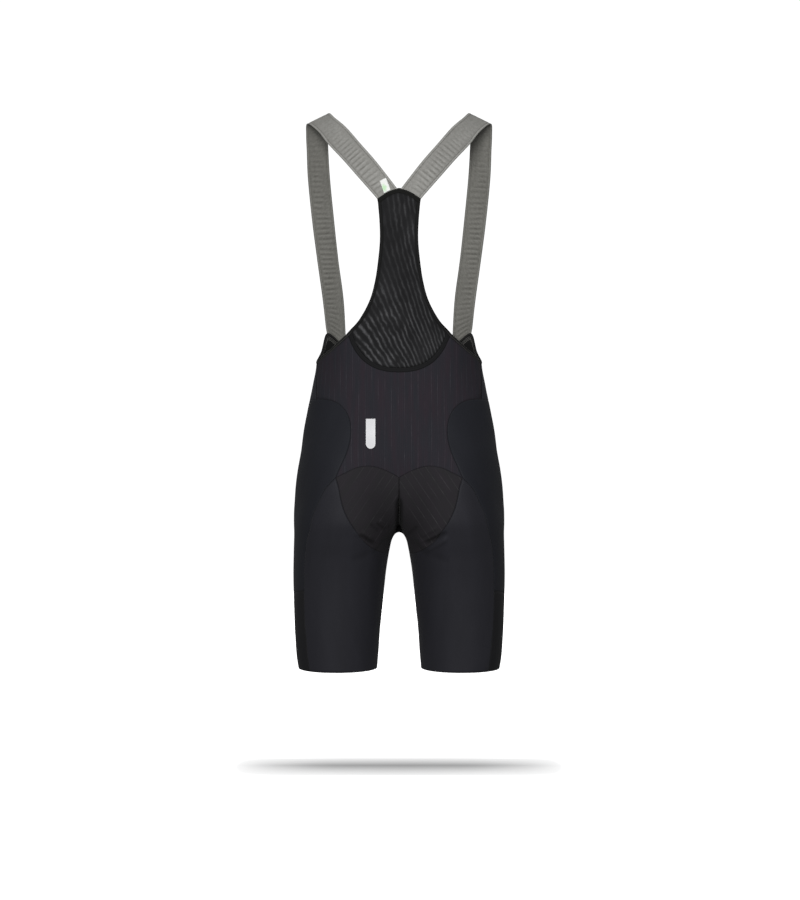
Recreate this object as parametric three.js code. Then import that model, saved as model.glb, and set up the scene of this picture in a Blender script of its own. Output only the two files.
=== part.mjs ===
// Cycling bib shorts in the hollow shape that they have when they are worn, as one three.js group of sewn pieces.
// Millimetres, +Z up. The wearer faces -Y, so +Y is the back and +X is the wearer's left.
// The origin lies midway between the tops of the two shoulder straps, where the shoulders carry the garment.
// Every cloth piece is a thin wall on one smooth surface, the garment's outside, given by level sections.
import * as THREE from "three";

// Cloth and sewing, in millimetres
const SEAM_GAP = 0.3;
const KNIT_THICKNESS = 1.5;
const MESH_THICKNESS = 1.2;
const BINDING_THICKNESS = 2.2;
const BINDING_RAISE = 0.4;
const BINDING_WIDTH = 5;
const YOKE_BAND_WIDTH = 8;
const MESH_BAND_WIDTH = 7;
const STRAP_THICKNESS = 1.6;
const STRAP_END_GAP = 0.5;
const TAB_THICKNESS = 1;
const LABEL_THICKNESS = 1;

// Heights of the main levels, below the tops of the straps
const SIDE_TOP = -401;
const PANEL_TOP = -464;
const CROTCH = -674;
const GUSSET_HEM = -716;
const GUSSET_FRONT = -632;
const HEM = -904;

// Level sections of the trunk: half its width, how far its middle lies behind the shoulder line, half its depth
const TRUNK = [
  { z: -100, halfWidth: 150, middle: -3, halfDepth: 93 },
  { z: -180, halfWidth: 150, middle: -6, halfDepth: 104 },
  { z: -250, halfWidth: 147, middle: -9, halfDepth: 105 },
  { z: -320, halfWidth: 141, middle: -13, halfDepth: 100 },
  { z: -380, halfWidth: 137, middle: -16, halfDepth: 95 },
  { z: -401, halfWidth: 137, middle: -15, halfDepth: 95 },
  { z: -440, halfWidth: 143, middle: -12, halfDepth: 97 },
  { z: -480, halfWidth: 151, middle: -7, halfDepth: 101 },
  { z: -520, halfWidth: 158, middle: -2, halfDepth: 104 },
  { z: -560, halfWidth: 162, middle: 2, halfDepth: 104 },
  { z: -600, halfWidth: 164.5, middle: 2, halfDepth: 100 },
  { z: -640, halfWidth: 164, middle: -3, halfDepth: 89 },
  { z: -680, halfWidth: 156, middle: -9, halfDepth: 60 },
];

// Level sections of one leg; the upper rows are the seat's rounding, which fades inside the trunk
const LEG = [
  { z: -480, centre: 72, halfWidth: 20, middle: 40, halfDepth: 18 },
  { z: -500, centre: 74, halfWidth: 36, middle: 42, halfDepth: 34 },
  { z: -540, centre: 77, halfWidth: 62, middle: 40, halfDepth: 62 },
  { z: -580, centre: 80, halfWidth: 76, middle: 22, halfDepth: 96 },
  { z: -620, centre: 83, halfWidth: 82, middle: 13, halfDepth: 110 },
  { z: -660, centre: 88, halfWidth: 83, middle: 8.5, halfDepth: 113.5 },
  { z: -690, centre: 92, halfWidth: 80.5, middle: 5, halfDepth: 108 },
  { z: -720, centre: 95.5, halfWidth: 78, middle: 2, halfDepth: 100 },
  { z: -750, centre: 98, halfWidth: 76, middle: 1.5, halfDepth: 92.5 },
  { z: -800, centre: 100, halfWidth: 73, middle: 3, halfDepth: 82 },
  { z: -850, centre: 101.5, halfWidth: 69.5, middle: 3.5, halfDepth: 75 },
  { z: -880, centre: 101.5, halfWidth: 67.5, middle: 4, halfDepth: 71 },
  { z: -910, centre: 100.5, halfWidth: 64, middle: 4, halfDepth: 68 },
];

// The upright line inside each half of the body that the turned panels are laid round
const AXIS = [
  { z: -100, out: 45, back: 0 },
  { z: -480, out: 60, back: 4 },
  { z: -600, out: 78, back: 8 },
  { z: -720, out: 95, back: 7 },
  { z: -910, out: 100, back: 4 },
];

const TRUNK_SQUARENESS = 2.35;
const LEG_SQUARENESS = 2.1;
const CROTCH_BEND = 130; // radius of the crotch seen from the side
const CROTCH_BACK = 8; // how far behind the shoulder line the crotch is lowest
const MM_PER_DEGREE = 2.4; // about how far a degree of turn reaches on the body
const EVENING_ROUNDS = 80;
const CLEFT_SOFT = 16;
const JOIN_SOFT = 26;
const FLOOR_SOFT = 20;

// A smooth function through a table's column, with no overshoot between its rows
function column(rows, name) {
  const along = [...rows].sort((a, b) => a.z - b.z);
  const z = along.map((row) => row.z);
  const value = along.map((row) => row[name]);
  const last = z.length - 1;
  const rise = z.slice(1).map((v, i) => (value[i + 1] - value[i]) / (v - z[i]));
  const slope = value.map((_, i) => {
    if (i === 0) return rise[0];
    if (i === last) return rise[last - 1];
    const [before, after] = [rise[i - 1], rise[i]];
    return before * after <= 0 ? 0 : (2 * before * after) / (before + after);
  });
  return (at) => {
    if (at <= z[0]) return value[0] + slope[0] * (at - z[0]);
    if (at >= z[last]) return value[last];
    let i = 0;
    while (at > z[i + 1]) i += 1;
    const span = z[i + 1] - z[i];
    const t = (at - z[i]) / span;
    const t2 = t * t;
    const t3 = t2 * t;
    return (
      value[i] * (2 * t3 - 3 * t2 + 1) +
      slope[i] * span * (t3 - 2 * t2 + t) +
      value[i + 1] * (3 * t2 - 2 * t3) +
      slope[i + 1] * span * (t3 - t2)
    );
  };
}

const trunkHalfWidth = column(TRUNK, "halfWidth");
const trunkMiddle = column(TRUNK, "middle");
const trunkHalfDepth = column(TRUNK, "halfDepth");
const legCentre = column(LEG, "centre");
const legHalfWidth = column(LEG, "halfWidth");
const legMiddle = column(LEG, "middle");
const legHalfDepth = column(LEG, "halfDepth");
const axisOut = column(AXIS, "out");
const axisBack = column(AXIS, "back");

// How far a level point lies outside a rounded section, along the line from the section's middle
function outsideSection(dx, dy, halfWidth, halfDepth, squareness) {
  const reach = Math.max(Math.hypot(dx, dy), 1e-6);
  const share =
    (Math.abs(dx / halfWidth) ** squareness + Math.abs(dy / halfDepth) ** squareness) ** (1 / squareness);
  return reach * (1 - 1 / Math.max(share, 1e-6));
}

function softMin(a, b, soft) {
  const near = Math.max(soft - Math.abs(a - b), 0) / soft;
  return Math.min(a, b) - (near * near * soft) / 4;
}

// How far a point lies outside the garment's outer surface: about zero on it, less than zero inside
function outside(x, y, z) {
  const leg = (side) =>
    outsideSection(x - side * legCentre(z), y - legMiddle(z), legHalfWidth(z), legHalfDepth(z), LEG_SQUARENESS);
  const legs = softMin(leg(1), leg(-1), CLEFT_SOFT);
  const floor = CROTCH + (y - CROTCH_BACK) ** 2 / (2 * CROTCH_BEND) - z;
  const trunk = outsideSection(x, y - trunkMiddle(z), trunkHalfWidth(z), trunkHalfDepth(z), TRUNK_SQUARENESS);
  const closedTrunk = -softMin(-trunk, -floor, FLOOR_SOFT);
  return softMin(legs, closedTrunk, JOIN_SOFT);
}

// The outward direction of the surface at a point
function outwards(p) {
  const e = 0.05;
  return new THREE.Vector3(
    outside(p.x + e, p.y, p.z) - outside(p.x - e, p.y, p.z),
    outside(p.x, p.y + e, p.z) - outside(p.x, p.y - e, p.z),
    outside(p.x, p.y, p.z + e) - outside(p.x, p.y, p.z - e),
  ).normalize();
}

// Moves a point that lies near the surface onto it
function settle(start) {
  const p = start.clone();
  const e = 0.05;
  for (let step = 0; step < 12; step += 1) {
    const f = outside(p.x, p.y, p.z);
    const g = new THREE.Vector3(
      outside(p.x + e, p.y, p.z) - outside(p.x - e, p.y, p.z),
      outside(p.x, p.y + e, p.z) - outside(p.x, p.y - e, p.z),
      outside(p.x, p.y, p.z + e) - outside(p.x, p.y, p.z - e),
    ).multiplyScalar(0.5 / e);
    p.addScaledVector(g, -f / Math.max(g.lengthSq(), 0.05));
  }
  return p;
}

// The surface point met first on the way out from a point inside
function cast(from, direction) {
  const stride = 3;
  let reach = 0;
  const gap = (r) => outside(from.x + direction.x * r, from.y + direction.y * r, from.z + direction.z * r);
  while (gap(reach + stride) < 0 && reach < 400) reach += stride;
  let [inner, outer] = [reach, reach + stride];
  for (let step = 0; step < 26; step += 1) {
    const middle = (inner + outer) / 2;
    if (gap(middle) < 0) inner = middle;
    else outer = middle;
  }
  return from.clone().addScaledVector(direction, inner);
}

const radians = THREE.MathUtils.degToRad;
const axisAt = (z) => new THREE.Vector3(axisOut(z), axisBack(z), z);
// Turn is measured round the axis in degrees: 0 straight back, 90 out to the side, 180 to the front, -90 inwards
const atTurn = (turn, z) => cast(axisAt(z), new THREE.Vector3(Math.sin(radians(turn)), Math.cos(radians(turn)), 0));
const onBack = (x, z) => cast(new THREE.Vector3(x, axisBack(z), z), new THREE.Vector3(0, 1, 0));
const onFront = (x, z) => cast(new THREE.Vector3(x, axisBack(z), z), new THREE.Vector3(0, -1, 0));
// A point of the middle seam, by its angle below the horizontal round the pelvis: 0 back, 90 down, 180 front
const PELVIS = new THREE.Vector3(0, CROTCH_BACK, -600);
const onMiddle = (angle) =>
  cast(PELVIS, new THREE.Vector3(0, Math.cos(radians(angle)), -Math.sin(radians(angle))));

// The turn of a surface point round the axis, continuous from -150 at the front of the inside leg to 210 in front
function turnOf(p, near) {
  const turn = THREE.MathUtils.radToDeg(Math.atan2(p.x - axisOut(p.z), p.y - axisBack(p.z)));
  return turn + 360 * Math.round((near - turn) / 360);
}

// A sewing line through surface points. Each stop is the number of a marked point and the steps up to it.
function line(points, ...stops) {
  const curve = new THREE.CatmullRomCurve3(points, false, "centripetal");
  const fine = 40;
  curve.arcLengthDivisions = fine * (points.length - 1);
  const lengths = curve.getLengths();
  const whole = lengths[lengths.length - 1];
  const made = [points[0].clone()];
  let from = 0;
  for (const [mark, steps] of stops) {
    const to = lengths[mark * fine];
    for (let k = 1; k < steps; k += 1) made.push(settle(curve.getPointAt((from + ((to - from) * k) / steps) / whole)));
    made.push(points[mark].clone());
    from = to;
  }
  return made;
}
const last = (points) => points[points.length - 1];

// The same line with some of its steps halved
const halved = (points, count) =>
  points.flatMap((p, i) => (i < count ? [p, p.clone().lerp(points[i + 1], 0.5)] : [p]));

// The line that runs beside another at a set distance on the surface; side is 1 or -1
function beside(points, distance, side) {
  return points.map((p, i) => {
    const along = points[Math.min(i + 1, points.length - 1)].clone().sub(points[Math.max(i - 1, 0)]);
    const across = new THREE.Vector3().crossVectors(outwards(p), along).normalize();
    return settle(p.clone().addScaledVector(across, distance * side));
  });
}

const join = (...lines) => lines.flatMap((points, i) => (i ? points.slice(1) : points));
const back = (points) => [...points].reverse();

// A grid of rows between four sewing lines. Rows run from the left line to the right one, the first row is the top.
function grid(left, right, top, bottom, place) {
  const rows = left.length - 1;
  const columns = top.length - 1;
  if (right.length !== left.length || bottom.length !== top.length)
    throw new Error(`the sides of a panel differ: ${left.length} ${right.length} ${top.length} ${bottom.length}`);
  return left.map((_, i) =>
    top.map((__, j) => {
      if (i === 0) return top[j].clone();
      if (i === rows) return bottom[j].clone();
      if (j === 0) return left[i].clone();
      if (j === columns) return right[i].clone();
      return place(i, j, i / rows, j / columns);
    }),
  );
}

// Blends the four sides of a panel, whose points are lists of numbers
function blend(left, right, top, bottom, i, j, v, u) {
  const rows = left.length - 1;
  return left[0].map(
    (_, k) =>
      (1 - u) * left[i][k] + u * right[i][k] + (1 - v) * top[j][k] + v * bottom[j][k] -
      (1 - u) * (1 - v) * left[0][k] - u * (1 - v) * right[0][k] -
      (1 - u) * v * left[rows][k] - u * v * right[rows][k],
  );
}

// Evens out the inner points of a flat grid by Winslow's equations, so that no cell folds over its neighbour
function evened(flat, rounds) {
  for (let round = 0; round < rounds; round++)
    for (let i = 1; i < flat.length - 1; i++)
      for (let j = 1; j < flat[0].length - 1; j++) {
        const [above, below, left, right] = [flat[i - 1][j], flat[i + 1][j], flat[i][j - 1], flat[i][j + 1]];
        const across = [0, 1].map((k) => (right[k] - left[k]) / 2);
        const down = [0, 1].map((k) => (below[k] - above[k]) / 2);
        const dot = (a, b) => a[0] * b[0] * MM_PER_DEGREE ** 2 + a[1] * b[1];
        const [a, b, c] = [dot(down, down), dot(across, down), dot(across, across)];
        flat[i][j] = [0, 1].map((k) => {
          const twist = flat[i + 1][j + 1][k] - flat[i + 1][j - 1][k] - flat[i - 1][j + 1][k] + flat[i - 1][j - 1][k];
          return (a * (left[k] + right[k]) + c * (above[k] + below[k]) - (b * twist) / 2) / (2 * (a + c));
        });
      }
  return flat;
}

// A panel that goes round the body: its inner points are placed by turn and height
function turnedPanel(left, right, top, bottom, nearLeft, nearRight, rounds = 0) {
  const near = (j) => nearLeft + ((nearRight - nearLeft) * j) / (top.length - 1);
  const flat = (points, at) => points.map((p, k) => [turnOf(p, at(k)), p.z]);
  const sides = [
    flat(left, () => nearLeft),
    flat(right, () => nearRight),
    flat(top, near),
    flat(bottom, near),
  ];
  const inner = left.map((_, i) =>
    top.map((__, j) => blend(...sides, i, j, i / (left.length - 1), j / (top.length - 1))),
  );
  evened(inner, rounds);
  return grid(left, right, top, bottom, (i, j) => atTurn(...inner[i][j]));
}

// A panel whose inner points are blended in space and then moved onto the surface
function settledPanel(left, right, top, bottom) {
  const sides = [left, right, top, bottom].map((points) => points.map((p) => p.toArray()));
  return grid(left, right, top, bottom, (i, j, v, u) =>
    settle(new THREE.Vector3(...blend(...sides, i, j, v, u))),
  );
}

// Moves the edge points of a grid in from the given sides, so that neighbours stay a seam gap apart
function trimmed(points, sides, distance) {
  const rows = points.length - 1;
  const columns = points[0].length - 1;
  const steps = { top: [1, 0], bottom: [-1, 0], left: [0, 1], right: [0, -1] };
  const atSide = { top: (i) => i === 0, bottom: (i) => i === rows, left: (i, j) => j === 0, right: (i, j) => j === columns };
  return points.map((row, i) =>
    row.map((p, j) => {
      const moved = p.clone();
      for (const side of sides) {
        if (!atSide[side](i, j)) continue;
        const [di, dj] = steps[side];
        const inward = points[i + di][j + dj].clone().sub(p);
        const [ai, aj] = [Math.abs(dj), Math.abs(di)];
        const before = points[Math.max(i - ai, 0)][Math.max(j - aj, 0)];
        const after = points[Math.min(i + ai, rows)][Math.min(j + aj, columns)];
        const along = after.clone().sub(before).normalize();
        inward.addScaledVector(along, -inward.dot(along)).normalize();
        moved.addScaledVector(inward, distance);
      }
      return moved;
    }),
  );
}

const ALL_SIDES = ["top", "bottom", "left", "right"];

// A closed wall between two grids of points
function wall(outer, inner) {
  const rows = outer.length;
  const columns = outer[0].length;
  const positions = [...outer, ...inner].flat().flatMap((p) => p.toArray());
  const faces = [];
  const quad = (a, b, c, d) => faces.push(a, b, c, a, c, d);
  const out = (i, j) => i * columns + j;
  const inn = (i, j) => (rows + i) * columns + j;
  for (let i = 0; i + 1 < rows; i += 1)
    for (let j = 0; j + 1 < columns; j += 1) {
      quad(out(i, j), out(i, j + 1), out(i + 1, j + 1), out(i + 1, j));
      quad(inn(i, j), inn(i + 1, j), inn(i + 1, j + 1), inn(i, j + 1));
    }
  for (let i = 0; i + 1 < rows; i += 1) {
    quad(out(i, 0), out(i + 1, 0), inn(i + 1, 0), inn(i, 0));
    quad(out(i + 1, columns - 1), out(i, columns - 1), inn(i, columns - 1), inn(i + 1, columns - 1));
  }
  for (let j = 0; j + 1 < columns; j += 1) {
    quad(out(0, j + 1), out(0, j), inn(0, j), inn(0, j + 1));
    quad(out(rows - 1, j), out(rows - 1, j + 1), inn(rows - 1, j + 1), inn(rows - 1, j));
  }
  return facingOut(positions, faces);
}

// A geometry whose faces are turned round if they point inwards
function facingOut(positions, faces) {
  const at = (i) => new THREE.Vector3().fromArray(positions, i * 3);
  let volume = 0;
  for (let i = 0; i < faces.length; i += 3)
    volume += at(faces[i]).dot(at(faces[i + 1]).cross(at(faces[i + 2])));
  if (volume < 0) faces.reverse();
  const geometry = new THREE.BufferGeometry();
  geometry.setAttribute("position", new THREE.Float32BufferAttribute(positions, 3));
  geometry.setIndex(faces);
  geometry.computeVertexNormals();
  return geometry;
}

// The two skins of cloth that lies on the surface
function skins(points, thickness, raise = 0) {
  const shift = (distance) => points.map((row) => row.map((p) => p.clone().addScaledVector(outwards(p), distance)));
  return [shift(raise), shift(raise - thickness)];
}

const mirrored = (points) => points.map((row) => row.map((p) => new THREE.Vector3(-p.x, p.y, p.z)));
// Both halves of a panel that crosses the middle, whose last column lies on the middle line
const across = (points) => {
  const other = mirrored(points);
  return points.map((row, i) => {
    row[row.length - 1].x = 0;
    return [...row, ...back(other[i]).slice(1)];
  });
};

const cloth = (colour, roughness) => new THREE.MeshStandardMaterial({ color: colour, roughness, metalness: 0 });
const materials = {
  knit: cloth(0x1d1e22, 0.62),
  pinstripe: cloth(0x221f25, 0.7),
  seat: cloth(0x1d1d1e, 0.75),
  side: cloth(0x17181c, 0.7),
  grip: cloth(0x141415, 0.8),
  mesh: cloth(0x171718, 0.85),
  binding: cloth(0x0d0d0e, 0.8),
  elastic: cloth(0x8e8d89, 0.8),
  reflective: cloth(0xe1e0e3, 0.35),
  label: cloth(0xe4f0e0, 0.6),
};

const garment = new THREE.Group();
function add(name, geometry, material) {
  const mesh = new THREE.Mesh(geometry, material);
  mesh.name = name;
  garment.add(mesh);
}

// A panel on each side of the body
function pair(name, points, thickness, material, raise = 0) {
  const [outer, inner] = skins(trimmed(points, ALL_SIDES, SEAM_GAP / 2), thickness, raise);
  add(`${name}_left`, wall(outer, inner), material);
  add(`${name}_right`, wall(mirrored(outer), mirrored(inner)), material);
}

// One panel from side to side, given as its left half
function single(name, points, thickness, material, raise = 0) {
  const trimmedHalf = trimmed(points, ["top", "bottom", "left"], SEAM_GAP / 2);
  const [outer, inner] = skins(trimmedHalf, thickness, raise);
  add(name, wall(across(outer), across(inner)), material);
}

// Sewing lines of the left half, as the points that a pattern cutter would mark

// The back's free edge, from below the yoke band down beside the mesh and out to the side
const BACK_EDGE = [
  { x: 33.7, z: -153 },
  { x: 31.4, z: -180 },
  { x: 30.6, z: -212 },
  { x: 33.4, z: -244 },
  { x: 38.2, z: -276 },
  { x: 47, z: -307 },
  { x: 64.7, z: -338.5 },
  { x: 79.5, z: -354.2 },
  { x: 85, z: -360 },
  { x: 101, z: -373.5 },
  { x: 115, z: -385 },
];
const YOKE_TOP = [
  { x: 35, z: -145 },
  { x: 30.6, z: -142.3 },
  { x: 20, z: -135.5 },
  { x: 10, z: -131 },
  { x: 0, z: -129 },
];
const MESH_FOOT = [
  { x: 81.2, z: -363.6 },
  { x: 72, z: -385 },
  { x: 57, z: -403.5 },
  { x: 39, z: -415 },
  { x: 20, z: -420.5 },
  { x: 0, z: -422 },
];
// Between the striped back and the side panel, from the side seam round to the seat's corner
const HIP = [
  { x: 121, z: -464.5 },
  { x: 107, z: -467.5 },
  { x: 92.5, z: -476 },
  { x: 82.5, z: -489 },
  { x: 77.5, z: -504 },
  { x: 76.5, z: -520 },
  { x: 78.7, z: -537 },
  { x: 84.3, z: -555 },
  { x: 92.5, z: -573 },
  { x: 100, z: -590 },
];
const SEAT_TOP = [
  { x: 100, z: -590 },
  { x: 84, z: -582 },
  { x: 66, z: -574 },
  { x: 42.5, z: -572 },
  { x: 18, z: -580 },
  { x: 0, z: -590 },
];
// Between the back of the leg and the side panel, down to the hem
const SIDE_BACK = [
  { x: 100, z: -590 },
  { x: 116, z: -607 },
  { x: 126, z: -625.5 },
  { x: 135.6, z: -646.5 },
  { x: 142, z: -671 },
  { x: 148.4, z: -695 },
  { x: 151.5, z: -720 },
  { x: 153.2, z: -773 },
  { x: 152.4, z: -821 },
  { x: 150, z: -853 },
  { x: 144.5, z: HEM },
];
// Between the seat and the back of the leg, from the seat's corner to the inside leg
const SEAT_OUT = [
  { x: 100, z: -590 },
  { x: 95, z: -606 },
  { x: 92, z: -622 },
  { x: 87, z: -640 },
  { x: 78.5, z: -658 },
  { x: 67, z: -675.5 },
  { x: 54.5, z: -692.5 },
  { x: 43, z: -702.5 },
  { x: 31, z: -710 },
];
// The gusset's edge from the inside leg forwards, by turn, and then up its front
const GUSSET_UNDER = [
  { turn: -112, z: -704 },
  { turn: -130, z: -690 },
];
const GUSSET_OUT = [
  { x: 37.5, z: -672 },
  { x: 38.5, z: -655 },
  { x: 36, z: -638 },
];
const SIDE_SEAM = { topTurn: 86, footTurn: 64 };
const FRONT_SEAM_TURN = 122;
const INSEAM_TURN = -90;
const GRIP_FRONT = -792;
const BIB_FOOT = -480;
// The top of the front: the armhole, by turn, and then the neckline from the strap to the middle
const ARMHOLE = [
  { turn: 104, z: -397 },
  { turn: 116, z: -391 },
  { turn: 124.5, z: -381 },
];
const NECKLINE = [
  { x: 122, z: -348 },
  { x: 90, z: -371.5 },
  { x: 62, z: -396 },
  { x: 32, z: -411 },
  { x: 0, z: -416 },
];

// Both edges of a strap, from the yoke over the shoulder to the front, out towards the arm and in towards the neck
const STRAP = [
  { outX: 67.2, outY: 77, outZ: -107.4, inX: 37.7, inY: 80, inZ: -83.3 },
  { outX: 90.2, outY: 62, outZ: -79.1, inX: 60.5, inY: 66, inZ: -55 },
  { outX: 115.4, outY: 42, outZ: -49.4, inX: 85.4, inY: 46, inZ: -23.4 },
  { outX: 132, outY: 23, outZ: -26, inX: 102.4, inY: 28, inZ: -6.1 },
  { outX: 152, outY: -6, outZ: -8.3, inX: 116.3, inY: -2, inZ: 8.3 },
  { outX: 154.5, outY: -26, outZ: -22, inX: 119.5, inY: -34, inZ: -10 },
  { outX: 154.2, outY: -38, outZ: -46, inX: 119, inY: -51, inZ: -42 },
  { outX: 153.2, outY: -50, outZ: -86, inX: 117.1, inY: -65, inZ: -83 },
  { outX: 146.7, outY: -65, outZ: -158, inX: 110.6, inY: -81, inZ: -155 },
  { outX: 138.1, outY: -71, outZ: -225, inX: 103.6, inY: -90, inZ: -222 },
  { outX: 128.7, outY: -71, outZ: -292, inX: 94.7, inY: -93, inZ: -290 },
];
const STRAP_ROWS = 26;
const STRAP_COLUMNS = 4;
const STRAP_INNER_END = 2.5; // how far from the middle a strap ends on the yoke
const STRAP_END_FADE = 12;

const TAB = { x: 45, top: -496.8, width: 15.3, length: 47.5 };
// The label's corners on the strap: its share across, and how far up the strap it reaches
const LABEL = { footFrom: 0.36, footTo: 0.68, headFrom: 0.575, headTo: 0.89, low: 0.003, high: 0.036 };

const onBackAll = (rows) => rows.map(({ x, z }) => onBack(x, z));
const atTurns = (rows) => rows.map(({ turn, z }) => atTurn(turn, z));
const onFrontAll = (rows) => rows.map(({ x, z }) => onFront(x, z));
const turned = (from, to, z, steps) =>
  Array.from({ length: steps + 1 }, (_, k) => atTurn(from + ((to - from) * k) / steps, z));

// Seams of the left half
const sideTop = atTurn(SIDE_SEAM.topTurn, SIDE_TOP);
const sideLow = atTurn(SIDE_SEAM.topTurn - 2, SIDE_TOP - BINDING_WIDTH);
const sideFoot = atTurn(SIDE_SEAM.footTurn, PANEL_TOP);
const insideLeg = atTurn(INSEAM_TURN, GUSSET_HEM);

const edge = line([...onBackAll(BACK_EDGE), sideTop], [7, 11], [8, 1], [11, 3]);
const edgeInside = beside(edge, BINDING_WIDTH, 1);
edgeInside[edgeInside.length - 1] = sideLow;
const edgeMesh = edgeInside.slice(0, 12);
const edgeBand = edgeInside.slice(11, 13);
const edgeHorn = edgeInside.slice(12);

const yokeTop = line(onBackAll(YOKE_TOP), [1, 1], [4, 5]);
const yokeFoot = beside(yokeTop, YOKE_BAND_WIDTH, -1);
yokeFoot[0] = edge[0].clone();
yokeFoot[1] = edgeInside[0].clone();

const meshFoot = line([last(edgeBand), ...onBackAll(MESH_FOOT).slice(1)], [5, 5]);
const bandTop = beside(meshFoot, MESH_BAND_WIDTH, 1);
bandTop[0] = last(edgeMesh).clone();
const backMiddle = (from, to, steps) =>
  Array.from({ length: steps + 1 }, (_, k) => onBack(0, from + ((to - from) * k) / steps));
const frontMiddle = (from, to, steps) =>
  Array.from({ length: steps + 1 }, (_, k) => onFront(0, from + ((to - from) * k) / steps));

const sideSeam = line([sideLow, atTurn(76, -432), sideFoot], [2, 4]);
const hip = line([sideFoot, ...onBackAll(HIP)], [3, 4], [10, 8]);
const seatTop = line(onBackAll(SEAT_TOP), [5, 8]);
const sideBack = line(onBackAll(SIDE_BACK), [7, 8], [10, 4]);
const seatOut = line([...onBackAll(SEAT_OUT), insideLeg], [6, 9], [9, 4]);
const gussetOut = line([insideLeg, ...atTurns(GUSSET_UNDER), ...onFrontAll(GUSSET_OUT)], [5, 7]);
const gussetTop = line([onFront(0, GUSSET_FRONT), onFront(18, GUSSET_FRONT - 1), last(gussetOut)], [2, 8]);
const under = line([onBack(0, -590), ...[10, 25, 40, 55, 70, 85, 100, 115, 130, 145].map(onMiddle), gussetTop[0]], [11, 20]);
const frontSeam = join(
  Array.from({ length: 17 }, (_, k) => atTurn(FRONT_SEAM_TURN, PANEL_TOP + ((GRIP_FRONT - PANEL_TOP) * k) / 16)),
  Array.from({ length: 5 }, (_, k) => atTurn(FRONT_SEAM_TURN, GRIP_FRONT + ((HEM - GRIP_FRONT) * k) / 4)),
);
const inseam = Array.from({ length: 13 }, (_, k) => atTurn(INSEAM_TURN, GUSSET_HEM + ((HEM - GUSSET_HEM) * k) / 12));
const sideAcross = turned(SIDE_SEAM.footTurn, FRONT_SEAM_TURN, PANEL_TOP, 5);
const waist = line([last(sideAcross), onFront(80, -470), onFront(40, -477), onFront(0, BIB_FOOT)], [3, 9]);
const neck = line(
  [sideTop, ...atTurns(ARMHOLE), ...onFrontAll(NECKLINE)],
  [4, 4],
  [5, 4],
  [8, 6],
);
const neckInside = beside(neck, BINDING_WIDTH, 1);
neckInside[0] = sideLow;

// The pieces
const middleAt = (points) => last(points).z;
const bandFoot = yokeFoot.slice(1);
single(
  "back_mesh",
  turnedPanel(
    edgeMesh,
    backMiddle(middleAt(bandFoot), middleAt(bandTop), 11),
    bandFoot,
    bandTop,
    20,
    -30,
    EVENING_ROUNDS,
  ),
  MESH_THICKNESS,
  materials.mesh,
);
single("yoke_band", [yokeTop, yokeFoot], BINDING_THICKNESS, materials.binding, BINDING_RAISE);
single("mesh_band", [bandTop, meshFoot], BINDING_THICKNESS, materials.binding, BINDING_RAISE);
pair("back_edge", [edge, edgeInside], BINDING_THICKNESS, materials.binding, BINDING_RAISE);
single("front_edge", [neck, neckInside], BINDING_THICKNESS, materials.binding, BINDING_RAISE);

const lumbar = turnedPanel(
  join(sideSeam, hip),
  backMiddle(middleAt(meshFoot), middleAt(seatTop), 16),
  join(back(edgeHorn), meshFoot),
  seatTop,
  60,
  -30,
  EVENING_ROUNDS,
);
single("lumbar_panel", lumbar, KNIT_THICKNESS, materials.pinstripe);
single(
  "front_bib",
  turnedPanel(
    sideSeam,
    frontMiddle(middleAt(neckInside), BIB_FOOT, 4),
    neckInside,
    join(sideAcross, waist),
    80,
    211,
    EVENING_ROUNDS,
  ),
  KNIT_THICKNESS,
  materials.knit,
);
const gripTop = line(
  [frontSeam[16], atTurn(100, -787), atTurn(80, -781), atTurn(60, -776), sideBack[8]],
  [4, 9],
);
const sideHemTurn = turnOf(last(sideBack), 30);
pair(
  "side_panel",
  turnedPanel(
    frontSeam.slice(0, 17),
    join(hip.slice(4), sideBack.slice(0, 9)),
    join(back(sideAcross), hip.slice(0, 5)),
    gripTop,
    122,
    50,
  ),
  KNIT_THICKNESS,
  materials.side,
);
pair(
  "side_lower",
  turnedPanel(frontSeam.slice(16), sideBack.slice(8), gripTop, turned(FRONT_SEAM_TURN, sideHemTurn, HEM, 9), 122, 40),
  KNIT_THICKNESS,
  materials.grip,
);
pair("seat", settledPanel(join(seatOut, gussetOut), under, seatTop, back(gussetTop)), KNIT_THICKNESS, materials.seat);
pair(
  "leg_back",
  turnedPanel(
    sideBack,
    inseam,
    seatOut,
    turned(sideHemTurn, INSEAM_TURN, HEM, 13),
    30,
    -60,
  ),
  KNIT_THICKNESS,
  materials.knit,
);
pair(
  "leg_front",
  turnedPanel(
    halved(frontSeam, 14),
    join(frontMiddle(BIB_FOOT, GUSSET_FRONT, 7), gussetTop, back(gussetOut), inseam),
    waist,
    turned(FRONT_SEAM_TURN, INSEAM_TURN + 360, HEM, 9),
    122,
    240,
  ),
  KNIT_THICKNESS,
  materials.knit,
);

// The straps: a band between two edges in space, with its ends cut along the yoke and along the neckline
const raised = (p, distance) => p.clone().add(new THREE.Vector3(0, 0, distance));
const strapEdge = (name, foot, end) =>
  new THREE.CatmullRomCurve3(
    [
      raised(foot, STRAP_END_GAP),
      ...STRAP.map((row) => new THREE.Vector3(row[`${name}X`], row[`${name}Y`], row[`${name}Z`])),
      raised(end, STRAP_END_GAP),
    ],
    false,
    "centripetal",
  );
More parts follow.
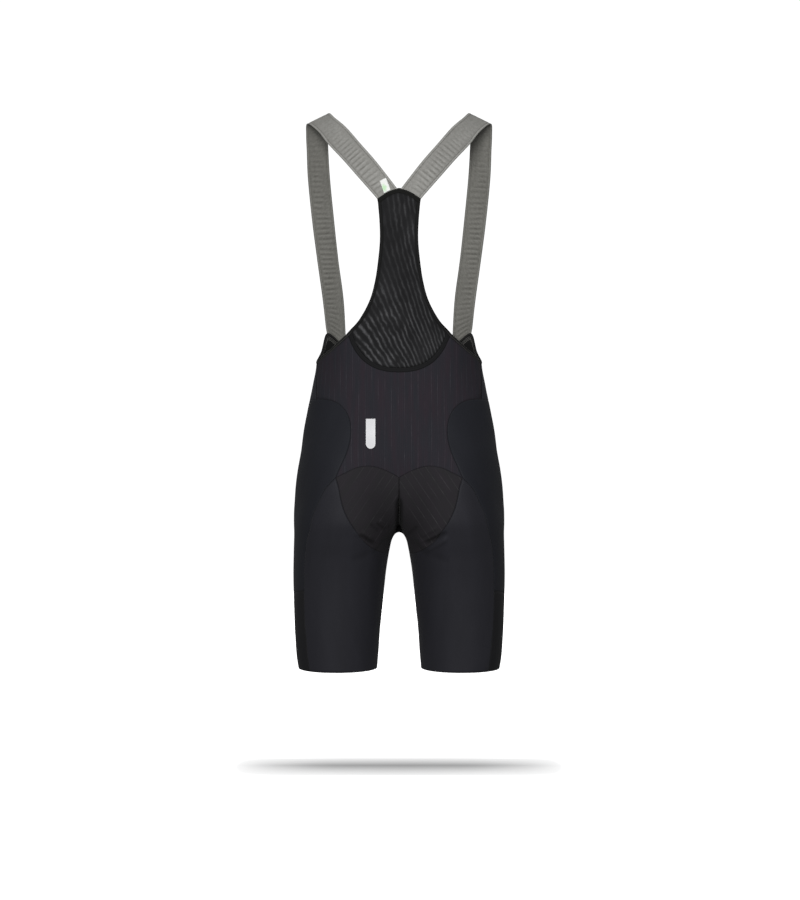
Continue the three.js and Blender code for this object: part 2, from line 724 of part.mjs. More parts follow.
// The point of a sewn line at a distance from the middle
function alongSeam(points, x) {
  const k = Math.min(Math.max(points.findIndex((p) => p.x <= x), 1), points.length - 1);
  return points[k - 1].clone().lerp(points[k], (points[k - 1].x - x) / (points[k - 1].x - points[k].x));
}
const strapFoot = alongSeam(yokeTop, STRAP_INNER_END);
const [neckOut, neckIn] = [neck[4], neck[8]];
const outEdge = strapEdge("out", yokeTop[0], neckOut);
const inEdge = strapEdge("in", strapFoot, neckIn);
// Each end is cut along the line that it is sewn to
function strapAt(u, t) {
  const p = outEdge.getPoint(t).lerp(inEdge.getPoint(t), u);
  const ends = [
    [Math.max(1 - t * STRAP_END_FADE, 0), yokeTop, yokeTop[0], strapFoot],
    [Math.max(1 - (1 - t) * STRAP_END_FADE, 0), neck, neckOut, neckIn],
  ];
  for (const [share, seam, from, to] of ends) {
    if (share === 0) continue;
    const straight = from.clone().lerp(to, u);
    p.addScaledVector(alongSeam(seam, straight.x).sub(straight), share);
  }
  return p;
}
function strapOut(u, t) {
  const e = 1e-3;
  const [t0, t1] = [Math.max(t - e, 0), Math.min(t + e, 1)];
  const along = strapAt(u, t1).sub(strapAt(u, t0));
  const side = inEdge.getPoint(t).sub(outEdge.getPoint(t));
  return new THREE.Vector3().crossVectors(side, along).normalize();
}
const strapGrid = (rows, columns, place, lift) =>
  Array.from({ length: rows + 1 }, (_, i) =>
    Array.from({ length: columns + 1 }, (__, j) => {
      const { u, t } = place(i / rows, j / columns);
      return strapAt(u, t).addScaledVector(strapOut(u, t), lift);
    }),
  );
const overStrap = (v, u) => ({ u, t: v });
const strapOuter = strapGrid(STRAP_ROWS, STRAP_COLUMNS, overStrap, STRAP_THICKNESS);
const strapInner = strapGrid(STRAP_ROWS, STRAP_COLUMNS, overStrap, 0);
add("strap_left", wall(strapOuter, strapInner), materials.elastic);
add("strap_right", wall(mirrored(strapOuter), mirrored(strapInner)), materials.elastic);

const lerp = THREE.MathUtils.lerp;
const overLabel = (v, u) => ({
  u: lerp(lerp(LABEL.footFrom, LABEL.footTo, u), lerp(LABEL.headFrom, LABEL.headTo, u), v),
  t: lerp(LABEL.low, LABEL.high, v),
});
add(
  "care_label",
  wall(
    strapGrid(3, 2, overLabel, STRAP_THICKNESS + SEAM_GAP + LABEL_THICKNESS),
    strapGrid(3, 2, overLabel, STRAP_THICKNESS + SEAM_GAP),
  ),
  materials.label,
);

// The reflective tab lies on the striped back, with a rounded foot
const TAB_ROWS = 10;
const tab = Array.from({ length: TAB_ROWS + 1 }, (_, i) => {
  const down = TAB.length * (1 - (1 - i / TAB_ROWS) ** 1.4);
  const round = Math.max(down - (TAB.length - TAB.width / 2), 0) / (TAB.width / 2);
  const half = (TAB.width / 2) * Math.max(Math.sqrt(Math.max(1 - round * round, 0)), 0.35);
  return [1, 0.5, 0, -0.5, -1].map((share) => onBack(TAB.x + half * share, TAB.top - down));
});
add("reflective_tab", wall(...skins(tab, TAB_THICKNESS, TAB_THICKNESS + SEAM_GAP + 0.1)), materials.reflective);

export default garment;
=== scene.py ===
# %% [markdown]
# # Cycling bib shorts, seen from behind
# The shorts are panelled black knit, the back above the waist is a black mesh, and two grey elastic
# straps run from the mesh over the shoulders to the front. Nobody wears them in the picture, yet they
# keep a wearer's shape. The CAD model holds every sewn piece as a plain wall. This lesson lays finer
# cloth on the same surface, piece by piece, adds what the needle and the wearer do to it, and gives each
# cloth its own finish.

# %% Load the CAD model, whose nodes stay where they are
import math
import bmesh
import bpy
import numpy as np
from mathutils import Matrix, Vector


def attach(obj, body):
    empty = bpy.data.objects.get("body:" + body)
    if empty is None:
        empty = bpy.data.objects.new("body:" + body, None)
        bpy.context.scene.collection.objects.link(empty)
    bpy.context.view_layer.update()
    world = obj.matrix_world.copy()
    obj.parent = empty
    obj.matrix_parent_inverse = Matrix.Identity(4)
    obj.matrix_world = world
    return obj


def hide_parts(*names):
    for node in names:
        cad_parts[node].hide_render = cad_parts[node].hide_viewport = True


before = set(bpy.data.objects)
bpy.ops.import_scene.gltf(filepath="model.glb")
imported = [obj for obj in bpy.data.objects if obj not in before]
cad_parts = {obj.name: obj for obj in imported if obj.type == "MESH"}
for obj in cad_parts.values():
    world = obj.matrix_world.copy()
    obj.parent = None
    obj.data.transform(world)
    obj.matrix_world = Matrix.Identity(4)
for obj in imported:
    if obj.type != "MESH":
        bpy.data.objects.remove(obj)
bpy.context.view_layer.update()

MM = 0.001

# %% [markdown]
# ## The garment's outside
# A worn garment is one smooth surface, whatever its seams do. The surface comes from level sections: a
# rounded section of the trunk and one of each leg at a few heights, joined softly. The tables hold
# millimetres, with the tops of the straps at height 0, and they are the CAD model's own, so that cloth
# and CAD agree.

# %% Tables of the level sections: height, half width, middle's depth, half depth
TRUNK = [
    (-100, 150, -3, 93), (-180, 150, -6, 104), (-250, 147, -9, 105), (-320, 141, -13, 100),
    (-380, 137, -16, 95), (-401, 137, -15, 95), (-440, 143, -12, 97), (-480, 151, -7, 101),
    (-520, 158, -2, 104), (-560, 162, 2, 104), (-600, 164.5, 2, 100), (-640, 164, -3, 89),
    (-680, 156, -9, 60),
]
# Height, centre's distance from the middle, half width, middle's depth, half depth
LEG = [
    (-480, 72, 20, 40, 18), (-500, 74, 36, 42, 34), (-540, 77, 62, 40, 62), (-580, 80, 76, 22, 96),
    (-620, 83, 82, 13, 110), (-660, 88, 83, 8.5, 113.5), (-690, 92, 80.5, 5, 108),
    (-720, 95.5, 78, 2, 100), (-750, 98, 76, 1.5, 92.5), (-800, 100, 73, 3, 82),
    (-850, 101.5, 69.5, 3.5, 75), (-880, 101.5, 67.5, 4, 71), (-910, 100.5, 64, 4, 68),
]
# Height, distance out, depth: the upright line inside each half that turns are measured round
AXIS = [(-100, 45, 0), (-480, 60, 4), (-600, 78, 8), (-720, 95, 7), (-910, 100, 4)]
TRUNK_SQUARENESS, LEG_SQUARENESS = 2.35, 2.1
CROTCH, CROTCH_BEND, CROTCH_BACK = -674, 130, 8
PELVIS_HEIGHT = -600
CLEFT_SOFT, JOIN_SOFT, FLOOR_SOFT = 16, 26, 20


# %% A smooth curve through a column of a table
class Column:
    """A column of a table as a function of height, with no overshoot between the rows."""

    def __init__(self, rows, place):
        rows = sorted(rows)
        self.z = np.array([row[0] for row in rows], float)
        self.value = np.array([row[place] for row in rows], float)
        rise = np.diff(self.value) / np.diff(self.z)
        before, after = rise[:-1], rise[1:]
        both = np.where(before * after > 0, before * after, 0)
        mean = 2 * both / np.where(both > 0, before + after, 1)
        self.slope = np.concatenate([[rise[0]], mean, [rise[-1]]])

    def __call__(self, z):
        z = np.asarray(z, float)
        i = np.clip(np.searchsorted(self.z, z, side="right") - 1, 0, len(self.z) - 2)
        span = self.z[i + 1] - self.z[i]
        t = np.clip((z - self.z[i]) / span, 0, 1)
        t2, t3 = t * t, t * t * t
        return (
            self.value[i] * (2 * t3 - 3 * t2 + 1) + self.slope[i] * span * (t3 - 2 * t2 + t)
            + self.value[i + 1] * (3 * t2 - 2 * t3) + self.slope[i + 1] * span * (t3 - t2)
        )


trunk_half_width, trunk_middle, trunk_half_depth = (Column(TRUNK, k) for k in (1, 2, 3))
leg_centre, leg_half_width, leg_middle, leg_half_depth = (Column(LEG, k) for k in (1, 2, 3, 4))
axis_out, axis_back = (Column(AXIS, k) for k in (1, 2))
print("waist, hip and hem half widths:", trunk_half_width([-401, -600]), leg_half_width(-904))


# %% How far a point lies outside the garment
TINY = 1e-6  # keeps a division by nothing away


def outside_section(dx, dy, half_width, half_depth, squareness):
    """How far a point lies outside a rounded section, on the line through the section's middle."""
    reach = np.maximum(np.hypot(dx, dy), TINY)
    powers = np.abs(dx / half_width) ** squareness + np.abs(dy / half_depth) ** squareness
    return reach * (1 - 1 / np.maximum(powers ** (1 / squareness), TINY))


def soft_min(a, b, soft):
    """The smaller of two values, with the corner between them rounded."""
    near = np.maximum(soft - np.abs(a - b), 0) / soft
    return np.minimum(a, b) - near * near * soft / 4


def outside(p):
    """About zero on the garment's outer surface, less than zero inside it; p is an array of points."""
    x, y, z = p[..., 0], p[..., 1], p[..., 2]
    leg = [
        outside_section(x - side * leg_centre(z), y - leg_middle(z), leg_half_width(z), leg_half_depth(z),
                        LEG_SQUARENESS)
        for side in (1, -1)
    ]
    floor = CROTCH + (y - CROTCH_BACK) ** 2 / (2 * CROTCH_BEND) - z
    trunk = outside_section(x, y - trunk_middle(z), trunk_half_width(z), trunk_half_depth(z),
                            TRUNK_SQUARENESS)
    closed_trunk = -soft_min(-trunk, -floor, FLOOR_SOFT)
    return soft_min(soft_min(leg[0], leg[1], CLEFT_SOFT), closed_trunk, JOIN_SOFT)


def slope_of(p, e=0.05):
    steps = np.eye(3) * e
    return np.stack([outside(p + s) - outside(p - s) for s in steps], axis=-1) / (2 * e)


def unit(v):
    return v / np.maximum(np.linalg.norm(v, axis=-1, keepdims=True), 1e-9)


SETTLE_ROUNDS, LEAST_SLOPE = 10, 0.05
STEP_OUT, STEPS_OUT, HALVINGS = 3, 90, 18  # millimetres a step, steps, and halvings of the last step


def settle(p):
    """Moves points that lie near the surface onto it."""
    for _ in range(SETTLE_ROUNDS):
        g = slope_of(p)
        p = p - g * (outside(p) / np.maximum((g * g).sum(-1), LEAST_SLOPE))[..., None]
    return p


def cast(start, way):
    """The first surface points met on the way out from points inside."""
    reach = np.zeros(start.shape[:-1])
    for _ in range(STEPS_OUT):
        inside = outside(start + way * (reach + STEP_OUT)[..., None]) < 0
        if not inside.any():
            break
        reach = reach + STEP_OUT * inside
    inner, outer = reach, reach + STEP_OUT
    for _ in range(HALVINGS):
        middle = (inner + outer) / 2
        inside = outside(start + way * middle[..., None]) < 0
        inner, outer = np.where(inside, middle, inner), np.where(inside, outer, middle)
    return start + way * inner[..., None]


# %% Ways to name a point of the surface
def points(*columns):
    return np.stack(np.broadcast_arrays(*[np.asarray(c, float) for c in columns]), axis=-1)


def at_turn(turn, z):
    """A turn is measured round the inner axis in degrees: 0 is to the back, 90 outwards, 180 to the front."""
    turn, z = np.broadcast_arrays(np.radians(np.asarray(turn, float)), np.asarray(z, float))
    return cast(points(axis_out(z), axis_back(z), z), points(np.sin(turn), np.cos(turn), 0 * z))


def straight_from_inside(x, z, way):
    """A point by its distance from the middle and its height; way is 1 to the back and -1 to the front."""
    x, z = np.broadcast_arrays(np.asarray(x, float), np.asarray(z, float))
    return cast(points(x, axis_back(z), z), points(0 * z, 0 * z + way, 0 * z))


def on_back(x, z):
    return straight_from_inside(x, z, 1)


def on_front(x, z):
    return straight_from_inside(x, z, -1)


def under_pelvis(angle):
    """A point of the middle seam by its angle below the horizontal: 0 back, 90 down, 180 front."""
    angle = np.radians(np.asarray(angle, float))
    start = points(0 * angle, CROTCH_BACK, PELVIS_HEIGHT)
    return cast(start, points(0 * angle, np.cos(angle), -np.sin(angle)))


def turn_of(p, near):
    """The turn of each point, counted round so that it is close to the turn that is given."""
    turn = np.degrees(np.arctan2(p[..., 0] - axis_out(p[..., 2]), p[..., 1] - axis_back(p[..., 2])))
    return turn + 360 * np.round((near - turn) / 360)


print("the seat stands back to", round(float(on_back(80, PELVIS_HEIGHT)[1]), 1), "mm")

# %% [markdown]
# ## Sewing lines
# A pattern cutter marks a few points and draws a smooth curve through them. The same is done here with
# the curve that the CAD model uses, a centripetal Catmull-Rom spline, which never loops between close
# points. FINE says how many cloth cells lie along each edge of a CAD panel.

# %% Smooth lines through marked points
FINE = 6
MARK_TO_MARK = 40  # how many points of a spline are worked out from each mark to the next


def spline_point(four, t):
    """The spline between the second and third of four points, at shares t of the way."""
    gap = [max(np.linalg.norm(four[k + 1] - four[k]) ** 0.5, 1e-4) for k in range(3)]
    chord = [(four[k + 1] - four[k]) / gap[k] for k in range(3)]
    wide = [(four[k + 2] - four[k]) / (gap[k] + gap[k + 1]) for k in range(2)]
    leave, arrive = [(chord[k] - wide[k] + chord[k + 1]) * gap[1] for k in range(2)]
    t = t[:, None]
    start, end = four[1], four[2]
    return (
        start + leave * t + (3 * end - 3 * start - 2 * leave - arrive) * t**2
        + (2 * start - 2 * end + leave + arrive) * t**3
    )


def spline(marks):
    """Many points along the spline through the marks."""
    marks = np.asarray(marks, float)
    ends = [2 * marks[0] - marks[1], *marks, 2 * marks[-1] - marks[-2]]
    share = np.arange(MARK_TO_MARK) / MARK_TO_MARK
    runs = [spline_point(ends[k:k + 4], share) for k in range(len(marks) - 1)]
    return np.concatenate([*runs, marks[-1:]])


def line(marks, *stops):
    """A sewing line; each stop is the number of a mark and the CAD steps up to it."""
    dense = spline(marks)
    length = np.concatenate([[0], np.cumsum(np.linalg.norm(np.diff(dense, axis=0), axis=1))])
    wanted, start = [np.zeros(1)], 0.0
    for mark, steps in stops:
        end = length[mark * MARK_TO_MARK]
        wanted.append(start + (end - start) * np.arange(1, steps * FINE + 1) / (steps * FINE))
        start = end
    wanted = np.concatenate(wanted)
    return settle(np.stack([np.interp(wanted, length, dense[:, k]) for k in range(3)], axis=-1))


def beside(run, distance, side):
    """The line beside another at a set distance on the surface."""
    along = np.roll(run, -1, axis=0) - np.roll(run, 1, axis=0)
    along[0], along[-1] = run[1] - run[0], run[-1] - run[-2]
    return settle(run + unit(np.cross(slope_of(run), along)) * distance * side)


def to_middle(run):
    """Draws the end of a line over to the middle of the body."""
    share = np.linspace(0, 1, len(run))[:, None]
    return settle(run - run[-1] * [1, 0, 0] * share)


def join(*runs):
    """One line from several that meet end to start."""
    return np.concatenate([runs[0], *[run[1:] for run in runs[1:]]])


# %% Tables of the marks, as distance from the middle and height
BACK_EDGE = [(33.7, -153), (31.4, -180), (30.6, -212), (33.4, -244), (38.2, -276), (47, -307), (64.7, -338.5),
             (79.5, -354.2), (85, -360), (101, -373.5), (115, -385)]
YOKE_TOP = [(35, -145), (30.6, -142.3), (20, -135.5), (10, -131), (0, -129)]
MESH_FOOT = [(72, -385), (57, -403.5), (39, -415), (20, -420.5), (0, -422)]
HIP = [(121, -464.5), (107, -467.5), (92.5, -476), (82.5, -489), (77.5, -504), (76.5, -520), (78.7, -537),
       (84.3, -555), (92.5, -573), (100, -590)]
SEAT_TOP = [(100, -590), (84, -582), (66, -574), (42.5, -572), (18, -580), (0, -590)]
HEM = -904
SIDE_BACK = [(100, -590), (116, -607), (126, -625.5), (135.6, -646.5), (142, -671), (148.4, -695),
             (151.5, -720), (153.2, -773), (152.4, -821), (150, -853), (144.5, HEM)]
SEAT_OUT = [(100, -590), (95, -606), (92, -622), (87, -640), (78.5, -658), (67, -675.5), (54.5, -692.5),
            (43, -702.5), (31, -710)]
GUSSET_UNDER = [(-112, -704), (-130, -690)]  # turn, height
GUSSET_OUT = [(37.5, -672), (38.5, -655), (36, -638)]
ARMHOLE = [(104, -397), (116, -391), (124.5, -381)]  # turn, height
NECKLINE = [(122, -348), (90, -371.5), (62, -396), (32, -411), (0, -416)]
GRIP_TOP = [(100, -787), (80, -781), (60, -776)]  # turn, height
SIDE_TOP, PANEL_TOP, GUSSET_HEM, GUSSET_FRONT = -401, -464, -716, -632
TOP_TURN, FOOT_TURN, FRONT_TURN, INSIDE_TURN = 86, 64, 122, -90
GRIP_FRONT, BIB_FOOT = -792, -480
BINDING_WIDTH, YOKE_BAND, MESH_BAND = 5, 8, 7
ABOVE_GRIP, BELOW_GRIP = 16, 4  # CAD steps down the front seam, above and below the lower side panel's top
BACK_ABOVE_GRIP = 8  # and those of the leg's back seam above it


# %% Draw the seams of the left half
def marked(place):
    """A function that finds the points of the surface for a table of marks."""
    return lambda rows: place(*np.array(rows, float).T)


back_marks, front_marks, turn_marks = marked(on_back), marked(on_front), marked(at_turn)


def upright(place, start, end, steps):
    """Evenly spaced points of a line on the surface from one height to another."""
    return place(np.linspace(start, end, steps * FINE + 1))


def level(start, end, z, steps):
    """Evenly spaced points of a level line from one turn to another."""
    return at_turn(np.linspace(start, end, steps * FINE + 1), z)


side_top, side_low, side_foot, inside_leg = turn_marks([
    (TOP_TURN, SIDE_TOP), (TOP_TURN - 2, SIDE_TOP - BINDING_WIDTH), (FOOT_TURN, PANEL_TOP),
    (INSIDE_TURN, GUSSET_HEM)])
edge = line([*back_marks(BACK_EDGE), side_top], (7, 11), (8, 1), (11, 3))
edge_inside = beside(edge, BINDING_WIDTH, 1)
edge_inside[-1] = side_low
edge_mesh = edge_inside[:11 * FINE + 1]
edge_horn = edge_inside[12 * FINE:]
yoke_top = line(back_marks(YOKE_TOP), (1, 1), (4, 5))
yoke_foot = to_middle(beside(yoke_top, YOKE_BAND, -1))
yoke_foot[:FINE + 1] = np.linspace(edge[0], edge_inside[0], FINE + 1)
mesh_foot = line([edge_horn[0], *back_marks(MESH_FOOT)], (5, 5))
band_top = to_middle(beside(mesh_foot, MESH_BAND, 1))
band_top[0] = edge_mesh[-1]
side_seam = line([side_low, at_turn(76, -432), side_foot], (2, 4))
hip = line([side_foot, *back_marks(HIP)], (3, 4), (10, 8))
seat_top = line(back_marks(SEAT_TOP), (5, 8))
side_back = line(back_marks(SIDE_BACK), (7, BACK_ABOVE_GRIP), (10, BELOW_GRIP))
seat_out = line([*back_marks(SEAT_OUT), inside_leg], (6, 9), (9, 4))
gusset_out = line([inside_leg, *turn_marks(GUSSET_UNDER), *front_marks(GUSSET_OUT)], (5, 7))
gusset_top = line([on_front(0, GUSSET_FRONT), on_front(18, GUSSET_FRONT - 1), gusset_out[-1]], (2, 8))
under = line([on_back(0, -590), *under_pelvis(np.arange(10, 146, 15)), gusset_top[0]], (11, 20))
front_seam = join(upright(lambda z: at_turn(FRONT_TURN, z), PANEL_TOP, GRIP_FRONT, ABOVE_GRIP),
                  upright(lambda z: at_turn(FRONT_TURN, z), GRIP_FRONT, HEM, BELOW_GRIP))
inseam = upright(lambda z: at_turn(INSIDE_TURN, z), GUSSET_HEM, HEM, 12)
side_across = level(FOOT_TURN, FRONT_TURN, PANEL_TOP, 5)
waist = line([side_across[-1], on_front(80, -470), on_front(40, -477), on_front(0, BIB_FOOT)], (3, 9))
neck = line([side_top, *turn_marks(ARMHOLE), *front_marks(NECKLINE)], (4, 4), (5, 4), (8, 6))
neck_inside = to_middle(beside(neck, BINDING_WIDTH, 1))
neck_inside[0] = side_low
front_grip, back_grip = ABOVE_GRIP * FINE, BACK_ABOVE_GRIP * FINE
grip_top = line([front_seam[front_grip], *turn_marks(GRIP_TOP), side_back[back_grip]], (4, 9))
side_hem_turn = float(turn_of(side_back[-1], 30))
print("points on the back's edge:", len(edge), "and on the leg's back seam:", len(side_back))

# %% [markdown]
# ## Panels between the seams
# A panel is a grid of cloth between four seams. Inside, each point is blended from the four sides, either
# as a turn and a height, which suits what goes round the body, or in space and then pushed onto the
# surface.

# %% Fill a panel
MM_PER_DEGREE = 2.4  # about how far a degree of turn reaches on the body
EVENING_ROUNDS, EVENING_PACE = 900, 0.9


def blended(left, right, top, bottom):
    """The four sides blended into a grid, as a Coons patch."""
    v = np.linspace(0, 1, len(left))[:, None, None]
    u = np.linspace(0, 1, len(top))[None, :, None]
    return (
        (1 - u) * left[:, None] + u * right[:, None] + (1 - v) * top[None] + v * bottom[None]
        - (1 - u) * (1 - v) * left[0] - u * (1 - v) * right[0] - (1 - u) * v * left[-1] - u * v * right[-1]
    )


def with_sides(inner, left, right, top, bottom):
    inner[:, 0], inner[:, -1], inner[0], inner[-1] = left, right, top, bottom
    return inner


def evened(flat, rounds):
    """Evens out a flat grid by Winslow's equations, so that no cell folds over its neighbour."""
    flat = flat * [MM_PER_DEGREE, 1]
    for _ in range(rounds):
        across, down = (flat[1:-1, 2:] - flat[1:-1, :-2]) / 2, (flat[2:, 1:-1] - flat[:-2, 1:-1]) / 2
        a, b, c = ((one * other).sum(-1, keepdims=True) for one, other in
                   ((down, down), (across, down), (across, across)))
        twist = flat[2:, 2:] - flat[2:, :-2] - flat[:-2, 2:] + flat[:-2, :-2]
        beside_it, above_and_below = flat[1:-1, 2:] + flat[1:-1, :-2], flat[2:, 1:-1] + flat[:-2, 1:-1]
        even = (a * beside_it + c * above_and_below - b * twist / 2) / (2 * (a + c))
        flat[1:-1, 1:-1] += EVENING_PACE * (even - flat[1:-1, 1:-1])
    return flat / [MM_PER_DEGREE, 1]


def turned_panel(left, right, top, bottom, near_left, near_right, rounds=0):
    """A panel blended as turns and heights; near_left and near_right are about the turns of its sides."""
    across = np.linspace(near_left, near_right, len(top))
    sides = [(left, near_left), (right, near_right), (top, across), (bottom, across)]
    flat = blended(*[np.stack([turn_of(run, near), run[:, 2]], axis=-1) for run, near in sides])
    flat = evened(flat, rounds)
    return with_sides(at_turn(flat[..., 0], flat[..., 1]), left, right, top, bottom)


def settled_panel(left, right, top, bottom):
    """A panel blended in space and pushed onto the surface."""
    return with_sides(settle(blended(left, right, top, bottom)), left, right, top, bottom)


def middle(place, top, bottom, steps):
    """The middle line of the body, from the last point of one line to that of another."""
    return upright(lambda z: place(0, z), top[-1, 2], bottom[-1, 2], steps)


mesh_top = yoke_foot[FINE:]
horn = edge_horn[::-1]
PANELS = {
    "back_mesh": turned_panel(edge_mesh, middle(on_back, mesh_top, band_top, 11), mesh_top, band_top, 20, -30,
                              EVENING_ROUNDS),
    "lumbar_panel": turned_panel(join(side_seam, hip), middle(on_back, mesh_foot, seat_top, 16),
                                 join(horn, mesh_foot), seat_top, 60, -30, EVENING_ROUNDS),
    "front_bib": turned_panel(side_seam, middle(on_front, neck_inside, waist, 4), neck_inside,
                              join(side_across, waist), 80, 211, EVENING_ROUNDS),
    "side_panel": turned_panel(front_seam[:front_grip + 1],
                               join(hip[4 * FINE:], side_back[:back_grip + 1]),
                               join(side_across[::-1], hip[:4 * FINE + 1]), grip_top, FRONT_TURN, 50),
    "side_lower": turned_panel(front_seam[front_grip:], side_back[back_grip:], grip_top,
                               level(FRONT_TURN, side_hem_turn, HEM, 9), FRONT_TURN, 40),
    "seat": settled_panel(join(seat_out, gusset_out), under, seat_top, gusset_top[::-1]),
    "leg_back": turned_panel(side_back, inseam, seat_out,
                             level(side_hem_turn, INSIDE_TURN, HEM, 13), 30, -60),
}
print({name: panel.shape[:2] for name, panel in PANELS.items()})

# %% The front of the leg, whose side seam has more cloth cells than the outer seam's marks
OUTER_SEAM_STEPS = 34
share, mark_share = np.linspace(0, 1, OUTER_SEAM_STEPS * FINE + 1), np.linspace(0, 1, len(front_seam))
outer_seam = np.stack([np.interp(share, mark_share, front_seam[:, k]) for k in range(3)], axis=-1)
inner_seam = join(middle(on_front, waist, gusset_top[:1], 7), gusset_top, gusset_out[::-1], inseam)
PANELS["leg_front"] = turned_panel(outer_seam, inner_seam, waist,
                                   level(FRONT_TURN, INSIDE_TURN + 360, HEM, 9), FRONT_TURN, 240)
print("front of the leg:", PANELS["leg_front"].shape[:2])

# %% [markdown]
# ## From points to cloth
# Each piece starts as bmesh's grid. Its vertices move to the panel's points, and a Solidify modifier
# gives the cloth its thickness on the inside. Two UV maps go with it: one lays the cloth out in metres,
# for weaves that must follow it, and one holds the distance to the nearest seams, for stitches and for
# the shade that a seam has. Some pieces bring one more, such as the depth of their creases.

# %% Measure, mirror and join grids of points
def run_lengths(grid, axis):
    """The length along each row or column of a grid, up to each of its points."""
    step = np.linalg.norm(np.diff(grid, axis=axis), axis=-1)
    zero = np.zeros_like(np.take(step, [0], axis=axis))
    return np.concatenate([zero, np.cumsum(step, axis=axis)], axis=axis)


def mirrored(grid):
    return grid[:, ::-1] * [-1, 1, 1]


def both_halves(grid):
    grid = grid.copy()
    grid[:, -1, 0] = 0
    return np.concatenate([grid, mirrored(grid)[:, 1:]], axis=1)


# %% How far round the body a point lies from the middle of the back
STEPS_ROUND = 24


def way_round(grid):
    """The length of the level line from the middle of the back to each point."""
    z = grid[..., 2]
    side = np.where(grid[..., 0] < 0, -1.0, 1.0)
    left = points(np.abs(grid[..., 0]), grid[..., 1], z)
    end = turn_of(left, 0)
    start = turn_of(on_back(0, z), -30)
    end = np.where(end < start - 1, end + 360, end)
    share = np.linspace(0, 1, STEPS_ROUND)
    path = at_turn(start[..., None] + (end - start)[..., None] * share, z[..., None])
    return side * np.linalg.norm(np.diff(path, axis=-2), axis=-1).sum(-1)


# %% A bmesh grid that takes the shape of a panel
def grid_mesh(name, placed, outwards):
    """The mesh, and the row and column of each of its vertices."""
    rows, columns = placed.shape[0] - 1, placed.shape[1] - 1
    bm = bmesh.new()
    bmesh.ops.create_grid(bm, x_segments=columns, y_segments=rows, size=1)
    mesh = bpy.data.meshes.new(name)
    bm.to_mesh(mesh)
    bm.free()
    flat = np.empty(len(mesh.vertices) * 3)
    mesh.vertices.foreach_get("co", flat)
    flat = flat.reshape(-1, 3)
    j = np.rint((flat[:, 0] + 1) / 2 * columns).astype(int)
    i = np.rint((1 - flat[:, 1]) / 2 * rows).astype(int)
    mesh.vertices.foreach_set("co", placed[i, j].ravel())
    row, column = rows // 2, columns // 2
    facing = np.cross(placed[row, column + 1] - placed[row, column],
                      placed[row - 1, column] - placed[row, column])
    if (facing * outwards[row, column]).sum() < 0:
        mesh.flip_normals()
    mesh.shade_smooth()
    return mesh, i, j


# %% The size that a piece was cut to
WORN_STRETCH = 1.12  # how much larger the cloth's area is on a wearer than as it was cut
LEAST_SIDE, LEAST_FILL = 0.0101, 0.31  # the least that is stated: a side in metres, a share of the rectangle
CUTS = {}


def cut_of(grid, across, down):
    """Width, length and area in metres, as cut."""
    a, b = grid[1:, :-1] - grid[:-1, :-1], grid[:-1, 1:] - grid[:-1, :-1]
    c, d = grid[1:, :-1] - grid[1:, 1:], grid[:-1, 1:] - grid[1:, 1:]
    worn = sum(np.linalg.norm(np.cross(*pair), axis=-1).sum() for pair in ((a, b), (c, d))) / 2
    sides = across[:, -1].max(), down[-1].max()
    width, length = (max(side * MM / WORN_STRETCH ** 0.5, LEAST_SIDE) for side in sides)
    whole = width * length
    return width, length, min(max(worn * MM * MM / WORN_STRETCH, LEAST_FILL * whole), whole)


# %% Lay a grid of cloth
def lay_cloth(name, node, grid, outwards, thickness, finish, lift=0.0, relief=0.0,
              maps=(), inside=None):
    """Makes one piece from its outer points, in millimetres, and the outward directions at them."""
    height = np.full(grid.shape[:2], float(lift)) + relief
    mesh, i, j = grid_mesh(name, (grid + outwards * height[..., None]) * MM, outwards)
    across, down = run_lengths(grid, 1), run_lengths(grid, 0)
    near = [np.minimum(run, end - run) for run, end in ((across, across[:, -1:]), (down, down[-1:]))]
    half = (grid.shape[1] - 1) // 2
    laid = np.stack([across - across[:, half:half + 1], -down], axis=-1)
    corner = np.empty(len(mesh.loops), dtype=np.int32)
    mesh.loops.foreach_get("vertex_index", corner)
    for label, values in (("Cloth", laid), ("Seam", np.stack(near, axis=-1)), *maps):
        uv = mesh.uv_layers.new(name=label)
        uv.data.foreach_set("uv", (values[i, j][corner] * MM).ravel())
    for face in (finish, inside or finish):
        mesh.materials.append(face)
    piece = bpy.data.objects.new(name, mesh)
    bpy.context.scene.collection.objects.link(piece)
    wall = piece.modifiers.new("Thickness", "SOLIDIFY")
    wall.thickness, wall.offset, wall.material_offset = thickness * MM, -1, 1
    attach(piece, "root")
    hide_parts(node)
    *cut, area = cut_of(grid, across, down)
    CUTS[name] = tuple(round(x, 3) for x in (*cut, area))


# %% [markdown]
# ## Finishes
# Every finish is a small recipe of Blender's shader nodes. Writing their maths as Python expressions
# keeps a recipe readable: a Signal is a number that varies over the cloth, and each sum or product of
# Signals adds a Math node.

# %% A Signal, a socket that Python's operators work on
def adds(operation, reflected=False):
    """A method that adds a Math node; the reflected form has its first value last, as 1 - mask needs."""
    def method(self, *other):
        return self.finish.math(operation, *((*other, self) if reflected else (self, *other)))
    return method


class Signal:
    """A socket's number, and the finish whose nodes it comes from."""

    def __init__(self, finish, socket):
        self.finish, self.socket = finish, socket

    def __neg__(self):
        return self * -1

    def clamp(self):
        return self.finish.node("ShaderNodeClamp", {}, {"Value": self})

    __add__, __radd__ = adds("ADD"), adds("ADD", reflected=True)
    __sub__, __rsub__ = adds("SUBTRACT"), adds("SUBTRACT", reflected=True)
    __mul__, __rmul__ = adds("MULTIPLY"), adds("MULTIPLY", reflected=True)
    __truediv__, __pow__ = adds("DIVIDE"), adds("POWER")
    sin, abs = adds("SINE"), adds("ABSOLUTE")


# %% The cloth finish that Signals belong to
SHEEN_ROUGHNESS = 0.45


